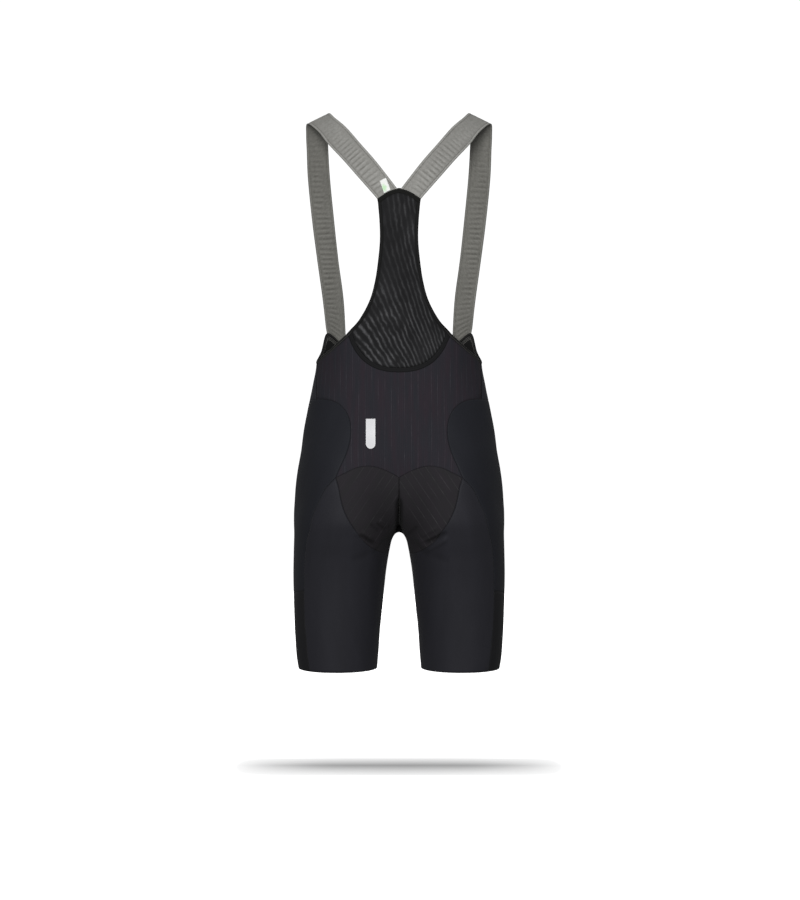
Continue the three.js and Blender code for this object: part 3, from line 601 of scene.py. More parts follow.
class Finish:
    """A cloth's material: its nodes are added by node, and its surface is set by wear."""

    def __init__(self, name, roughness, specular, sheen=0.0):
        self.material = bpy.data.materials.new(name)
        self.material.use_nodes = True
        self.tree = self.material.node_tree
        self.surface = self.tree.nodes["Principled BSDF"]
        self.surface.inputs["Roughness"].default_value = roughness
        self.surface.inputs["Specular IOR Level"].default_value = specular
        self.surface.inputs["Sheen Weight"].default_value = sheen
        self.surface.inputs["Sheen Roughness"].default_value = SHEEN_ROUGHNESS

    def plug(self, socket, value):
        """Links a Signal to a socket, or sets the socket to a number or colour."""
        if isinstance(value, Signal):
            self.tree.links.new(value.socket, socket)
        elif hasattr(value, "__len__") and len(value) == 3 and socket.type == "RGBA":
            socket.default_value = (*value, 1)
        else:
            socket.default_value = value

    def node(self, kind, settings, inputs, output=0):
        """Adds any node from its type, its settings and what goes into its sockets."""
        made = self.tree.nodes.new(kind)
        for key, value in settings.items():
            setattr(made, key, value)
        for key, value in inputs.items():
            self.plug(made.inputs[key], value)
        return Signal(self, made.outputs[output])

    def math(self, operation, *values):
        return self.node("ShaderNodeMath", {"operation": operation}, dict(enumerate(values)))

    def place(self, uv=None):
        """The x, y and z of the object, or of a UV map, in millimetres."""
        where = (self.node("ShaderNodeUVMap", {"uv_map": uv}, {}) if uv
                 else self.node("ShaderNodeTexCoord", {}, {}, "Object"))
        split = self.tree.nodes.new("ShaderNodeSeparateXYZ")
        self.plug(split.inputs[0], where)
        return [Signal(self, out) * 1000 for out in split.outputs]

    def nearest_seam(self):
        near_u, near_v, _ = self.place("Seam")
        return self.math("MINIMUM", near_u, near_v)

    def at(self, x, y):
        return self.node("ShaderNodeCombineXYZ", {}, {0: x, 1: y})

    def noise(self, at, scale, detail=2.0, roughness=0.5):
        return self.node("ShaderNodeTexNoise", {}, {"Vector": at, "Scale": scale, "Detail": detail,
                                                   "Roughness": roughness})

    def wave(self, signal, period):
        """From 0 to 1 and back over each period of the signal."""
        return (signal * (2 * math.pi / period)).sin() * 0.5 + 0.5

    def line(self, signal, at, width):
        """1 on the line where the signal is at, falling off over the width."""
        return (1 - (signal - at).abs() / width).clamp()

    def mix(self, share, first, second):
        return self.node("ShaderNodeMix", {"data_type": "RGBA"}, {0: share, 6: first, 7: second}, 2)

    def wear(self, colour, height=None, depth=0.0):
        """Gives the surface its colour, and a relief that is depth millimetres deep."""
        self.plug(self.surface.inputs["Base Color"], colour)
        if height is not None:
            bump = self.node("ShaderNodeBump", {},
                             {"Strength": 1.0, "Distance": depth * MM, "Height": height})
            self.plug(self.surface.inputs["Normal"], bump)
        return self.material


# %% Colours as they are seen
def seen(*screen):
    """The cloth colour that shows about as the given screen colour, from 0 to 255, in the studio's light."""
    return tuple(((c / 255 + 0.055) / 1.055) ** 2.4 if c > 10 else c / 3295 for c in screen)


# %% [markdown]
# ## Black knits
# The legs, hips and front are a fine warp knit of dark yarn: upright ribs called wales, crossed by
# courses, a cloudy sheen, and at each seam a dark line between two rows of flat stitches. Bump gives the
# wales, since a wale is only about a millimetre wide.

# %% Seam and stitches, shared by all knits
SEAM_REACH, STITCHES_AT, STITCH_THICKNESS, STITCH_LENGTH = 1.1, 2.3, 0.55, 2.7
FULL_SHADE_DEPTH = 4  # millimetres


def sewn(finish):
    """The dark line of a seam and the flat stitches beside it."""
    u, v, _ = finish.place("Cloth")
    seam = finish.nearest_seam()
    slanting = ((finish.wave(u * 0.8 + v, STITCH_LENGTH) - 0.3) * 1.6).clamp()
    stitches = finish.line(seam, STITCHES_AT, STITCH_THICKNESS) * slanting
    return finish.line(seam, 0, SEAM_REACH), stitches


def painted_crease_shade(finish):
    """The painted shade in a trough, darker the deeper it is. A piece without a Crease map has none."""
    relief, *_ = finish.place("Crease")
    return (relief * (-1 / FULL_SHADE_DEPTH)).clamp()


# %% Plain knit
SHEEN = 0.02


def knit(name, dark, light, rib=1.25, specular=0.11, rows=()):
    """Rows says how far each row of pale cover stitches lies below the cloth's upper edge."""
    finish = Finish(name, roughness=0.55, specular=specular, sheen=SHEEN)
    u, v, _ = finish.place("Cloth")
    shade, stitches = sewn(finish)
    wale, course = finish.wave(u, rib), finish.wave(v, rib * 0.8)
    cloud = finish.noise(finish.at(u, v * 0.3), 0.03, 3)
    yarn = finish.noise(finish.at(u, v * 0.5), 1.2, 2)
    tone = cloud * 0.7 + yarn * 0.35 + wale * 0.15 - 0.1 + stitches * 0.5
    cloth = finish.mix(tone.clamp(), seen(*dark), seen(*light))
    # The seam's dark line, and painted shade in the troughs of creases.
    cloth = finish.mix((shade * 0.35 + painted_crease_shade(finish) * 0.5).clamp(), cloth, seen(22, 22, 24))
    height = wale * 0.5 + course * 0.25 + yarn * 0.3 + stitches * 0.6 - shade * 0.7
    for row in rows:
        thread = finish.line(v, -row, 0.6) * (finish.wave(u + row * 0.7, 2.4) * 0.8 + 0.4)
        cloth = finish.mix(thread.clamp(), cloth, seen(150, 149, 144))
        height = height + thread * 1.5
    return finish.wear(cloth, height, depth=0.13)


BLACK_KNIT = knit("black_knit", (36, 36, 40), (47, 47, 53))
SIDE_KNIT = knit("side_knit", (33, 34, 39), (41, 42, 47), specular=0.08)
GRIP_KNIT = knit("grip_knit", (28, 28, 30), (37, 37, 39), rib=1.9, specular=0.08)
BIB_INSIDE = knit("bib_inside", (28, 28, 28), (36, 36, 36), specular=0.05, rows=(1.6, 4.1, 6.6))


# %% [markdown]
# ## Striped cloths
# The lower back is a purplish black jersey with thin, pale, broken stripes that stand upright all round
# the body. The seat is the same kind of cloth cut on the bias, so that its stripes slant down towards the
# legs. The distance round the body is a UV map of its own, so the stripes keep their spacing at the hips.

# %% Striped jersey
def striped(finish, across, along, ground, patches, stripe, fine_stripe, period, thinness, strength,
            dark=0.0):
    """Broken stripes and fainter fine ones on a ground of two colours; dark adds painted shade of its own."""
    shade, stitches = sewn(finish)
    drift = finish.noise(finish.at(across * 0.05, along * 0.004), 1.0, 1)
    broken = finish.noise(finish.at(across * 0.35, along * 0.022), 1.0, 2)
    dashes = finish.noise(finish.at(across * 0.5, along * 0.12), 1.0, 2)
    main = finish.wave(across + drift * 2.5, period) ** thinness
    fine = finish.wave(across + drift * 2.5 + 1.7, period / 3) ** 12
    thread = main * ((broken - 0.38) * 4).clamp() * ((dashes - 0.25) * 2).clamp() * strength
    faint = fine * ((broken - 0.4) * 4).clamp() * (dashes * 1.2).clamp()
    rib = finish.wave(across, 1.2)
    course = finish.wave(along, 1.0)
    patch = finish.noise(finish.at(across * 0.11, along * 0.014), 1.0, 2)
    yarn = finish.noise(finish.at(across, along * 0.5), 1.2, 2)
    cloth = finish.mix(((patch - 0.35) * 3).clamp(), seen(*ground), seen(*patches))
    cloth = finish.mix((yarn * 0.35 + rib * 0.15 - 0.12).clamp(), cloth, seen(*fine_stripe))
    cloth = finish.mix((faint * 0.8).clamp(), cloth, seen(*fine_stripe))
    cloth = finish.mix(thread.clamp(), cloth, seen(*stripe))
    # Towards near black where the seam's dark line, the painted shade of creases and the painted shade given
    # as dark lie.
    cloth = finish.mix((shade * 0.22 + painted_crease_shade(finish) * 0.5 + dark).clamp(), cloth, seen(10, 10, 11))
    height = rib * 0.4 + course * 0.2 + thread * 0.6 + faint * 0.3 + stitches * 0.4 - shade * 0.7
    return finish.wear(cloth, height, depth=0.12)


def pinstriped_back():
    finish = Finish("pinstriped_back", roughness=0.8, specular=0.08, sheen=SHEEN)
    way, height, _ = finish.place("Round")
    return striped(finish, way, height, ground=(40, 41, 46), patches=(46, 40, 46), stripe=(66, 63, 69),
                   fine_stripe=(56, 52, 59), period=10.6, thinness=36,
                   strength=((-height - 330) / 90).clamp())


STRIPE_LEAN = 56  # degrees
UNLIKE = 137  # millimetres that the breaks in the left side's stripes are moved by


def seat_cloth():
    finish = Finish("seat_cloth", roughness=0.8, specular=0.08, sheen=SHEEN)
    x, y, z = finish.place()
    lean = math.radians(STRIPE_LEAN)
    out = x.abs()
    # Painted shade: the cleft between the two sides of the seat is darkened, in a band that widens downwards,
    # on the back only.
    fold = ((-z - 612) / 58).clamp() ** 1.5 * 6.5 + 0.3  # half the width of the fold between the two sides
    painted_cleft_shade = ((1 - out / fold) * 3).clamp() * ((y + 20) / 20).clamp()
    across = out * math.sin(lean) + z * math.cos(lean)
    other_side = finish.math("GREATER_THAN", x, 0.0) * UNLIKE
    along = z * math.sin(lean) - out * math.cos(lean) + other_side
    return striped(finish, across, along, ground=(42, 41, 43), patches=(44, 41, 45), stripe=(74, 73, 75),
                   fine_stripe=(47, 46, 49), period=11.5, thinness=60, strength=0.75 - x * 0.006,
                   dark=painted_cleft_shade * 0.85)


PINSTRIPE, SEAT_CLOTH = pinstriped_back(), seat_cloth()
print("knits:", [m.name for m in (BLACK_KNIT, SIDE_KNIT, GRIP_KNIT, PINSTRIPE, SEAT_CLOTH)])


# %% [markdown]
# ## The double mesh of the back
# Two layers of fine mesh lie on each other. Their holes drift in and out of step, which shows as pale
# slanting streaks that fan out, closer together to one side. A phase that grows unevenly across the back
# draws them.

# %% Double mesh
def double_mesh():
    finish = Finish("double_mesh", roughness=0.75, specular=0.08, sheen=SHEEN)
    x, _, z = finish.place()
    top = ((z + 250) / 90).clamp()
    s = -x
    s = s + finish.math("MAXIMUM", -23 - s, 0.0) * top * 2
    low = z + 400
    sway = finish.noise(finish.at(s * 0.8, z * 0.5), 0.035, 2)
    ripple = finish.noise(finish.at(s, z * 0.8), 0.1, 3, 0.6)
    phase = s * 0.76 + s * s * 0.0024 + z * 0.42 - low * low * 0.00065 + sway * 6 + ripple * 4.6
    streak = (phase.sin() * 0.5 + 0.5) ** 2.8
    foot, right = ((-z - 255) / 80).clamp(), ((s + 22) / 40).clamp()
    fade = finish.math("MAXIMUM", foot, right * 0.65) * 0.8 + 0.2
    patch = finish.noise(finish.at(s * 1.2, z * 0.6), 0.06, 2)
    thread = finish.noise(finish.at(s * 0.9 + z * 0.5, z * 0.4), 0.6, 2)
    uneven_thread = ((patch - 0.3) * 3).clamp() * (thread * 1.3 + 0.3)
    pale = streak * fade * uneven_thread * (foot * (1 - right) * 0.25 + 0.8)
    haze = ((finish.noise(finish.at(s, z), 0.02, 2) - 0.45) * 1.2).clamp() * 0.25
    edge = finish.line(finish.nearest_seam(), 0, 2.2)
    holes = finish.wave(s + z * 0.58, 1.7) * finish.wave(s - z * 0.58, 1.7)
    cloth = finish.mix((pale + haze).clamp(), seen(33, 33, 34), seen(90, 90, 92))
    cloth = finish.mix((holes * 0.35).clamp(), cloth, seen(24, 24, 25))
    cloth = finish.mix((edge * 0.7).clamp(), cloth, seen(24, 24, 24))
    return finish.wear(cloth, holes * -1.0 + streak * 0.2, depth=0.22)


DOUBLE_MESH = double_mesh()


# %% [markdown]
# ## Bindings
# A knitted elastic band closes each open edge. On the lower back and the front it is held by rows of
# paler cover stitches; higher up, beside the mesh, the thread is as black as the band.

# %% Bindings with rows of stitches
def binding(name, band, thread, rows, fade=None, lip=None):
    """Rows says how far each row of stitches lies from the band's outer line, fade where they dim."""
    finish = Finish(name, roughness=0.8, specular=0.06, sheen=SHEEN)
    u, v, _ = finish.place("Cloth")
    _, _, z = finish.place()
    rib = finish.wave(u, 1.1)
    stitch = 0.0
    for row in rows:
        loops = (finish.wave(u + row * 0.7, 2.6) * 0.9 + 0.35).clamp()
        stitch = finish.line(v, -row, 0.75) * loops + stitch
    if fade:
        top, foot = fade
        stitch = stitch * ((top - z) / (top - foot)).clamp()
    tone = finish.noise(finish.at(u, v), 0.3, 2) * 0.6 + rib * 0.3
    cloth = finish.mix(tone.clamp(), seen(*(c * 0.85 for c in band)), seen(*(c * 1.2 for c in band)))
    cloth = finish.mix(stitch.clamp(), cloth, seen(*thread))
    if lip:
        cloth = finish.mix((finish.line(v, 0, 1.1) * 0.9).clamp(), cloth, seen(*lip))
    return finish.wear(cloth, rib * 0.35 + stitch * 1.2, depth=0.16)


BACK_BINDING = binding("back_binding", (31, 31, 31), (74, 73, 72), rows=(0.9, 3.9), fade=(-352, -362))
FRONT_BINDING = binding("front_binding", (30, 30, 30), (70, 70, 68), rows=(0.9, 2.6, 4.3))
YOKE_BINDING = binding("yoke_binding", (26, 26, 25), (38, 38, 37), rows=(3.2, 6.6), lip=(40, 39, 36))
MESH_BINDING = binding("mesh_binding", (29, 29, 30), (38, 38, 39), rows=(1.5, 5.4))


# %% [markdown]
# ## Woven elastic
# The straps are a wide grey elastic. Its weft shows as fine cross lines, a groove runs four millimetres
# in from each edge, and the band between the grooves ripples across. The inside is darker than the
# outside. The ripples are real relief; the Ripple map repeats their height, so that their crests are
# paler, partly because the weave opens there and partly as a painted highlight.

# %% Woven elastic, outside and inside
GROOVE_IN, GROOVE_REACH = 4.0, 0.9


def woven_elastic(name, dark, light, crest_highlight, edge_line):
    """The crest value says how much paler the ripples' crests are, partly a painted highlight; edge_line how
    dark the grooves are.
    """
    finish = Finish(name, roughness=0.7, specular=0.15, sheen=0.03)
    u, v, _ = finish.place("Cloth")
    near_u, _, _ = finish.place("Seam")
    ripple, *_ = finish.place("Ripple")
    weft = finish.wave(v, 1.3)
    warp = finish.wave(u + finish.wave(v, 2.6) * 0.3, 1.4)
    fleck = finish.noise(finish.at(u * 1.3, v * 2.2), 0.5, 3)
    coarse = finish.noise(finish.at(u * 0.9, v * 1.3), 0.25, 3)
    cloud = finish.noise(finish.at(u, v * 0.3), 0.05, 2)
    groove = finish.line(near_u, GROOVE_IN, GROOVE_REACH)
    second = finish.line(near_u, 6.2, 0.6) * ((coarse - 0.4) * 4).clamp()
    selvage = finish.line(near_u, 1.9, 1.9)
    rim = finish.line(near_u, 0, 0.7)
    # Paler crests: partly the weave opening there, partly a painted highlight.
    tone = (fleck * 0.6 + coarse * 0.7 + cloud * 0.3 + weft * 0.12 - 0.37 + ripple * crest_highlight
            + selvage * 0.18 - groove * edge_line - second * edge_line * 0.5 - rim * 0.3)
    cloth = finish.mix(tone.clamp(), seen(*dark), seen(*light))
    return finish.wear(cloth, weft * 0.6 + warp * 0.4 + fleck * 0.4 - groove * 1.3, depth=0.25)


ELASTIC = woven_elastic("woven_elastic", dark=(115, 114, 109), light=(179, 178, 174), crest_highlight=0.30,
                        edge_line=0.45)
ELASTIC_INSIDE = woven_elastic("woven_elastic_inside", dark=(93, 92, 87), light=(153, 152, 146),
                               crest_highlight=0.34, edge_line=0.2)


# %% The reflective film and the label
def reflective_film():
    finish = Finish("reflective_film", roughness=0.4, specular=0.4)
    x, _, z = finish.place()
    grain = finish.noise(finish.at(x, z), 1.4, 3)
    edge = finish.line(finish.nearest_seam(), 1.0, 1.0)
    cloth = finish.mix((grain * 0.7 - 0.1).clamp(), seen(220, 220, 223), seen(238, 238, 240))
    cloth = finish.mix((edge * 0.7).clamp(), cloth, seen(243, 243, 244))
    return finish.wear(cloth, grain * 0.5 + edge * 0.6, depth=0.08)


def label_satin():
    finish = Finish("label_satin", roughness=0.5, specular=0.3, sheen=0.05)
    u, v, _ = finish.place("Cloth")
    weave = finish.wave(v, 0.7)
    tint = (1.6 - (u + 2.8).abs() * 0.24 - (v + 14.5).abs() * 0.15).clamp()
    cloth = finish.mix(tint, seen(250, 251, 248), seen(205, 243, 198))
    cloth = finish.mix(weave * 0.15, cloth, seen(232, 234, 230))
    return finish.wear(cloth, weave, depth=0.05)


FILM, SATIN = reflective_film(), label_satin()
print("finishes:", len(bpy.data.materials))

# %% [markdown]
# ## Creases
# Tight cloth has few folds. Those of the photograph are listed one by one: a gather along the foot of
# each seat panel, small pulls beside the crotch, and soft waves where the front bends at the hip. Each is
# a soft trough or ridge between two points, on the back or on the front.

# %% Soft troughs and ridges, listed one by one
CREASES = [  # side (1 back, -1 front), from x, from z, to x, to z, half width, height
    (1, -74, -677, -38, -696, 2.4, -4.2), (1, -76, -686, -48, -705, 3.4, 2.8),
    (1, -60, -668, -34, -684, 3.4, 2.0), (1, 62, -681, 36, -697, 2.4, -4.4),
    (1, 58, -675, 42, -687, 2.4, 2.2), (1, 70, -675, 52, -691, 3.0, 1.8),
    (1, 0, -612, 0, -690, 2.4, -2.5), (1, 0, -628, 0, -692, 4.0, -9.0),
    (1, 30, -657, 17, -668, 2.2, 2.4), (1, 34, -663, 20, -675, 2.0, -2.2),
    (1, -28, -668, -14, -684, 2.6, -1.8), (1, 44, -664, 30, -676, 2.4, -1.8),
    (1, 22, -690, 40, -712, 4.0, -1.2), (1, -20, -690, -44, -716, 4.0, -1.3),
    (1, -26, -684, -52, -706, 3.4, 1.3), (1, 46, -712, 74, -722, 6.0, -1.0),
    (1, -50, -714, -78, -724, 6.0, -1.0),
    (-1, 20, -650, 70, -632, 7.0, -1.4), (-1, 26, -664, 88, -652, 8.0, 1.2),
    (-1, 30, -684, 84, -686, 8.0, -1.2), (-1, -20, -646, -74, -628, 7.0, -1.3),
    (-1, -26, -662, -84, -648, 8.0, 1.2), (-1, -30, -680, -88, -680, 8.0, -1.2),
    (-1, 40, -610, 96, -588, 10.0, -1.0), (-1, -44, -606, -92, -588, 10.0, -1.0),
    (-1, 30, -520, 84, -512, 9.0, -0.8), (-1, -24, -528, -88, -516, 9.0, -0.8),
]


def creased(grid):
    """The height of all creases at the points of a grid."""
    height = np.zeros(grid.shape[:2])
    flat, depth = grid[..., [0, 2]], grid[..., 1] - axis_back(grid[..., 2])
    for side, x0, z0, x1, z1, width, rise in CREASES:
        start, way = np.array([x0, z0], float), np.array([x1 - x0, z1 - z0], float)
        share = ((flat - start) @ way) / (way @ way)
        near = np.linalg.norm(flat - start - np.clip(share, 0, 1)[..., None] * way, axis=-1)
        ends = np.clip(np.minimum(share + 0.15, 1.15 - share) / 0.35, 0, 1)
        height += rise * np.exp(-(near / width) ** 2) * ends * ends * (3 - 2 * ends) * (depth * side > 0)
    return height


SEAM_DIP, DIP_REACH = 0.16, 2.2


def dipped(grid):
    """Cloth dips a little where it is sewn."""
    across, down = run_lengths(grid, 1), run_lengths(grid, 0)
    near = np.minimum(np.minimum(across, across[:, -1:] - across), np.minimum(down, down[-1:] - down))
    return -SEAM_DIP * np.exp(-(near / DIP_REACH) ** 2)


# %% Lay the panels
KNIT, FINE_KNIT = 1.5, 1.2  # thickness
HALVES = [  # panel, finish, slot
    ("side_panel", SIDE_KNIT, "side"), ("side_lower", GRIP_KNIT, "grip"), ("seat", SEAT_CLOTH, "seat"),
    ("leg_back", BLACK_KNIT, "knit"), ("leg_front", BLACK_KNIT, "knit"),
]
# The Crease map of these halves carries their creases' depth, for the painted shade in the troughs.
for panel, finish, slot in HALVES:
    left = PANELS[panel]
    for name, grid in ((f"{panel}_left", left), (f"{panel}_right", mirrored(left))):
        folds = creased(grid)
        lay_cloth(f"{name}_cloth", name, grid, unit(slope_of(grid)), KNIT, finish,
                  relief=folds + dipped(grid), maps=[("Crease", np.stack([folds, folds], axis=-1))])
WHOLES = [  # panel, thickness, finish outside, finish inside, slot
    ("back_mesh", FINE_KNIT, DOUBLE_MESH, DOUBLE_MESH, "mesh"),
    ("lumbar_panel", KNIT, PINSTRIPE, PINSTRIPE, "pinstripe"),
    ("front_bib", KNIT, BLACK_KNIT, BIB_INSIDE, "knit"),
]
for panel, thickness, finish, inside, slot in WHOLES:
    grid = both_halves(PANELS[panel])
    maps = []
    if finish is PINSTRIPE:
        maps.append(("Round", np.stack([way_round(grid), grid[..., 2]], axis=-1)))
    lay_cloth(f"{panel}_cloth", panel, grid, unit(slope_of(grid)), thickness, finish,
              relief=creased(grid) + dipped(grid), maps=maps, inside=inside)
print("cut pieces so far:", CUTS)


# %% Lay the bindings, each a narrow strip between two lines
TUCK = 0.09  # share of its width that a binding reaches under a panel
BAND_THICKNESS, BAND_LIFT, BAND_ROUNDING = 1.9, 0.5, 0.9
BINDINGS = [  # name, outer line, inner line, finish, whether it is one piece across the middle, upper tuck
    ("back_edge", edge, edge_inside, BACK_BINDING, False, 0),
    ("front_edge", neck, neck_inside, FRONT_BINDING, True, 0),
    ("yoke_band", yoke_top, yoke_foot, YOKE_BINDING, True, 0),
    ("mesh_band", band_top, mesh_foot, MESH_BINDING, True, TUCK),
]
for name, outer, inner, finish, whole, tuck in BINDINGS:
    share = np.linspace(-tuck, 1 + TUCK, 6)[:, None]
    half = settle(outer * (1 - share[..., None]) + inner * share[..., None])
    rounded = -BAND_ROUNDING * (2 * share - 1) ** 2  # high in the middle, low at both edges
    if whole:
        made = [(name, both_halves(half))]
    else:
        made = [(f"{name}_left", half), (f"{name}_right", mirrored(half))]
    for node, grid in made:
        lay_cloth(f"{node}_cloth", node, grid, unit(slope_of(grid)), BAND_THICKNESS, finish,
                  lift=BAND_LIFT, relief=rounded)
print("cut pieces with the bindings:", len(CUTS))

# %% [markdown]
# ## Straps
# Each strap is one band of woven elastic. It is sewn to the yoke, lies over the shoulder and hangs down
# to the front. Its middle ripples between the two firmer selvages, more so where it is less stretched,
# lower down. The same rows of marks as in the CAD model give both edges.

# %% Both edges of a strap
STRAP = np.array([  # outer edge x, y, z, inner edge x, y, z
    (67.2, 77, -107.4, 37.7, 80, -83.3), (90.2, 62, -79.1, 60.5, 66, -55),
    (115.4, 42, -49.4, 85.4, 46, -23.4), (132, 23, -26, 102.4, 28, -6.1),
    (152, -6, -8.3, 116.3, -2, 8.3), (154.5, -26, -22, 119.5, -34, -10),
    (154.2, -38, -46, 119, -51, -42), (153.2, -50, -86, 117.1, -65, -83),
    (146.7, -65, -158, 110.6, -81, -155), (138.1, -71, -225, 103.6, -90, -222),
    (128.7, -71, -292, 94.7, -93, -290),
])
STRAP_SEWN_IN, STRAP_END_FADE = 1.5, 12  # how deep its ends are sewn in, and how soon they leave the seam
INNER_EDGE_AT_YOKE = 2.5  # from the middle of the back


def along_seam(run, x):
    """The point of a line from the side to the middle at a distance from the middle."""
    return np.stack([np.interp(-np.asarray(x), -run[:, 0], run[:, k]) for k in range(3)], axis=-1)


strap_foot = along_seam(yoke_top, INNER_EDGE_AT_YOKE)
neck_out, neck_in = neck[4 * FINE], neck[8 * FINE]
sewn_in = np.array([0, 0, STRAP_SEWN_IN])
EDGES = [spline([foot - sewn_in, *STRAP[:, cols], end - sewn_in])
         for foot, cols, end in ((yoke_top[0], slice(0, 3), neck_out), (strap_foot, slice(3, 6), neck_in))]


def strap_at(u, t):
    """The strap's inner face: u runs from the arm to the neck, t from the yoke to the front."""
    u, t = np.broadcast_arrays(u, t)
    place = np.linspace(0, 1, len(EDGES[0]))
    arm, collar = (np.stack([np.interp(t, place, e[:, k]) for k in range(3)], axis=-1) for e in EDGES)
    p = arm + (collar - arm) * u[..., None]
    ends = ((1 - t * STRAP_END_FADE, yoke_top, yoke_top[0], strap_foot),
            (1 - (1 - t) * STRAP_END_FADE, neck, neck_out, neck_in))
    for share, seam, start, end in ends:
        straight = start + (end - start) * u[..., None]
        p = p + (along_seam(seam, straight[..., 0]) - straight) * np.clip(share, 0, 1)[..., None]
    return p


def strap_outwards(u, t):
    u, t = np.broadcast_arrays(u, t)
    e = 2e-3
    along = strap_at(u, np.minimum(t + e, 1)) - strap_at(u, np.maximum(t - e, 0))
    across = strap_at(u * 0 + 1, t) - strap_at(u * 0, t)
    return unit(np.cross(across, along))


# %% Ripples and the rows of stitches that fix the fold over the shoulder
STRAP_ROWS, STRAP_COLUMNS = 640, 24
RIPPLE_PITCH = 8.6
RIPPLES = [  # millimetres along the strap from the yoke, height
    (0, 0.22), (16, 0.40), (60, 0.52), (105, 0.44), (130, 0.18), (160, 0.08), (203, 0.0), (240, 0.02),
    (280, 0.14), (350, 0.34), (500, 0.38), (600, 0.32),
]
FOLD_ROWS = (183, 187, 191, 195, 199)  # rows of stitches just behind the top of the shoulder
FOLD_ROW_DEPTH, FOLD_ROW_REACH = 0.3, 0.8


def uneven(s, spacing, low, high, knots):
    """A value that wanders between two limits along the strap."""
    marks = np.arange(0, s[-1] + 2 * spacing, spacing)
    return np.interp(s, marks, knots.uniform(low, high, len(marks)))[:, None]


def ripples(u, s, seed):
    """Cross ripples between the selvages, strongest low down, and none on top of the shoulder."""
    knots = np.random.default_rng(seed)
    strength = np.interp(s, *np.array(RIPPLES).T)[:, None] * uneven(s, 11, 0.45, 1.0, knots)
    phase = s[:, None] / RIPPLE_PITCH + uneven(s, 21, -0.18, 0.18, knots)
    reach = uneven(s, 13, 0.5, 0.95, knots)
    inside = np.clip((u - 0.10) / 0.12, 0, 1) * np.clip((reach + 0.1 - u) / 0.3, 0.12, 1)
    tilt = uneven(s, 26, -0.3, 0.3, knots)
    wave = np.sin(2 * np.pi * (phase + tilt * u)) + 0.3 * np.sin(4 * np.pi * phase + 3 * u)
    rows = sum(np.exp(-((s - row) / FOLD_ROW_REACH) ** 2) for row in FOLD_ROWS)[:, None]
    between_grooves = np.clip((u - 0.12) / 0.05, 0, 1) * np.clip((0.88 - u) / 0.05, 0, 1)
    return wave * inside * strength - FOLD_ROW_DEPTH * rows * between_grooves


# %% Lay both straps
STRAP_THICKNESS, STRAP_WIDTH, GROOVE_DEPTH = 1.6, 38, 0.35
END_PRESSED, END_REACH = 1.2, 9  # the sewn ends are pressed down, over this length
TALL_RIPPLE = 0.45  # where the Ripple map is 1
u, t = np.meshgrid(np.linspace(0, 1, STRAP_COLUMNS + 1), np.linspace(0, 1, STRAP_ROWS + 1))
strap, strap_out = strap_at(u, t), strap_outwards(u, t)
along = run_lengths(strap[:, [STRAP_COLUMNS // 2]], 0)[:, 0]
strap_length = float(along[-1])
groove = -GROOVE_DEPTH * np.exp(-((np.minimum(u, 1 - u) * STRAP_WIDTH - GROOVE_IN) / GROOVE_REACH) ** 2)
pressed = -END_PRESSED * np.clip(1 - np.minimum(t, 1 - t) * strap_length / END_REACH, 0, 1)
for name, seed, on_right in (("strap_left", 3, False), ("strap_right", 8, True)):
    grid, outwards, wave = strap, strap_out, ripples(u, along, seed)
    height = wave + groove + pressed
    if on_right:
        grid, outwards, wave, height = mirrored(grid), mirrored(outwards), wave[:, ::-1], height[:, ::-1]
    lay_cloth(f"{name}_cloth", name, grid, outwards, STRAP_THICKNESS, ELASTIC,
              lift=STRAP_THICKNESS, relief=height,
              maps=[("Ripple", np.stack([wave / TALL_RIPPLE, wave], axis=-1))], inside=ELASTIC_INSIDE)
print("each strap is", round(strap_length), "mm long")

# %% The care label, on the left strap's foot
LABEL_FOOT, LABEL_HEAD, LABEL_REACH = (0.35, 0.67), (0.565, 0.88), 0.033  # as shares of the strap
LABEL_THICKNESS, LABEL_LIFT, LABEL_CURL = 0.7, 1.2, 0.35


def between(pair, share):
    return pair[0] + (pair[1] - pair[0]) * share


v, w = np.meshgrid(np.linspace(0, 1, 17), np.linspace(0, 1, 11), indexing="ij")
label_u = between(LABEL_FOOT, w) * (1 - v) + between(LABEL_HEAD, w) * v
label = strap_at(label_u, LABEL_REACH * v)[::-1]
label_out = strap_outwards(label_u, LABEL_REACH * v)[::-1]
lay_cloth("care_label_cloth", "care_label", label, label_out, LABEL_THICKNESS, SATIN,
          lift=STRAP_THICKNESS + LABEL_LIFT, relief=LABEL_CURL * np.sin(np.pi * v[::-1]) * w)

# %% The reflective tab, on the striped back, with a rounded foot
TAB_X, TAB_TOP, TAB_WIDTH, TAB_LENGTH = 45, -496.8, 15.3, 47.5
TAB_THICKNESS, TAB_LIFT = 0.9, 1.5
FOOT_CROWDING, FOOT_FLAT = 1.4, 0.35  # rows crowd towards the foot, whose end is cut off flat
down = TAB_LENGTH * (1 - (1 - np.linspace(0, 1, 33)) ** FOOT_CROWDING)
rounding = np.clip((down - (TAB_LENGTH - TAB_WIDTH / 2)) / (TAB_WIDTH / 2), 0, 1)
half = TAB_WIDTH / 2 * np.maximum(np.sqrt(1 - rounding**2), FOOT_FLAT)
tab = on_back(TAB_X + half[:, None] * np.linspace(1, -1, 13), (TAB_TOP - down)[:, None])
lay_cloth("reflective_tab_cloth", "reflective_tab", tab, unit(slope_of(tab)), TAB_THICKNESS, FILM,
          lift=TAB_LIFT)
print("pieces laid:", len(CUTS))

# %% [markdown]
# ## Studio
# The picture is a cut-out on white with one soft shadow below the garment. A pale bowl, whose floor runs
# up into a round wall, stands in for it and looks the same from every side. It is hidden from the light
# that the cloth receives, so the black cloth stays dark along its outline, as in the picture. A lamp
# would leave a gap in the shadow, where its light falls through the hollow legs, so the shadow is a pool
# of shade in the paper's own glow and colour. Three soft lamps light the cloth, one from the camera's
# side, one from the far side and one above.

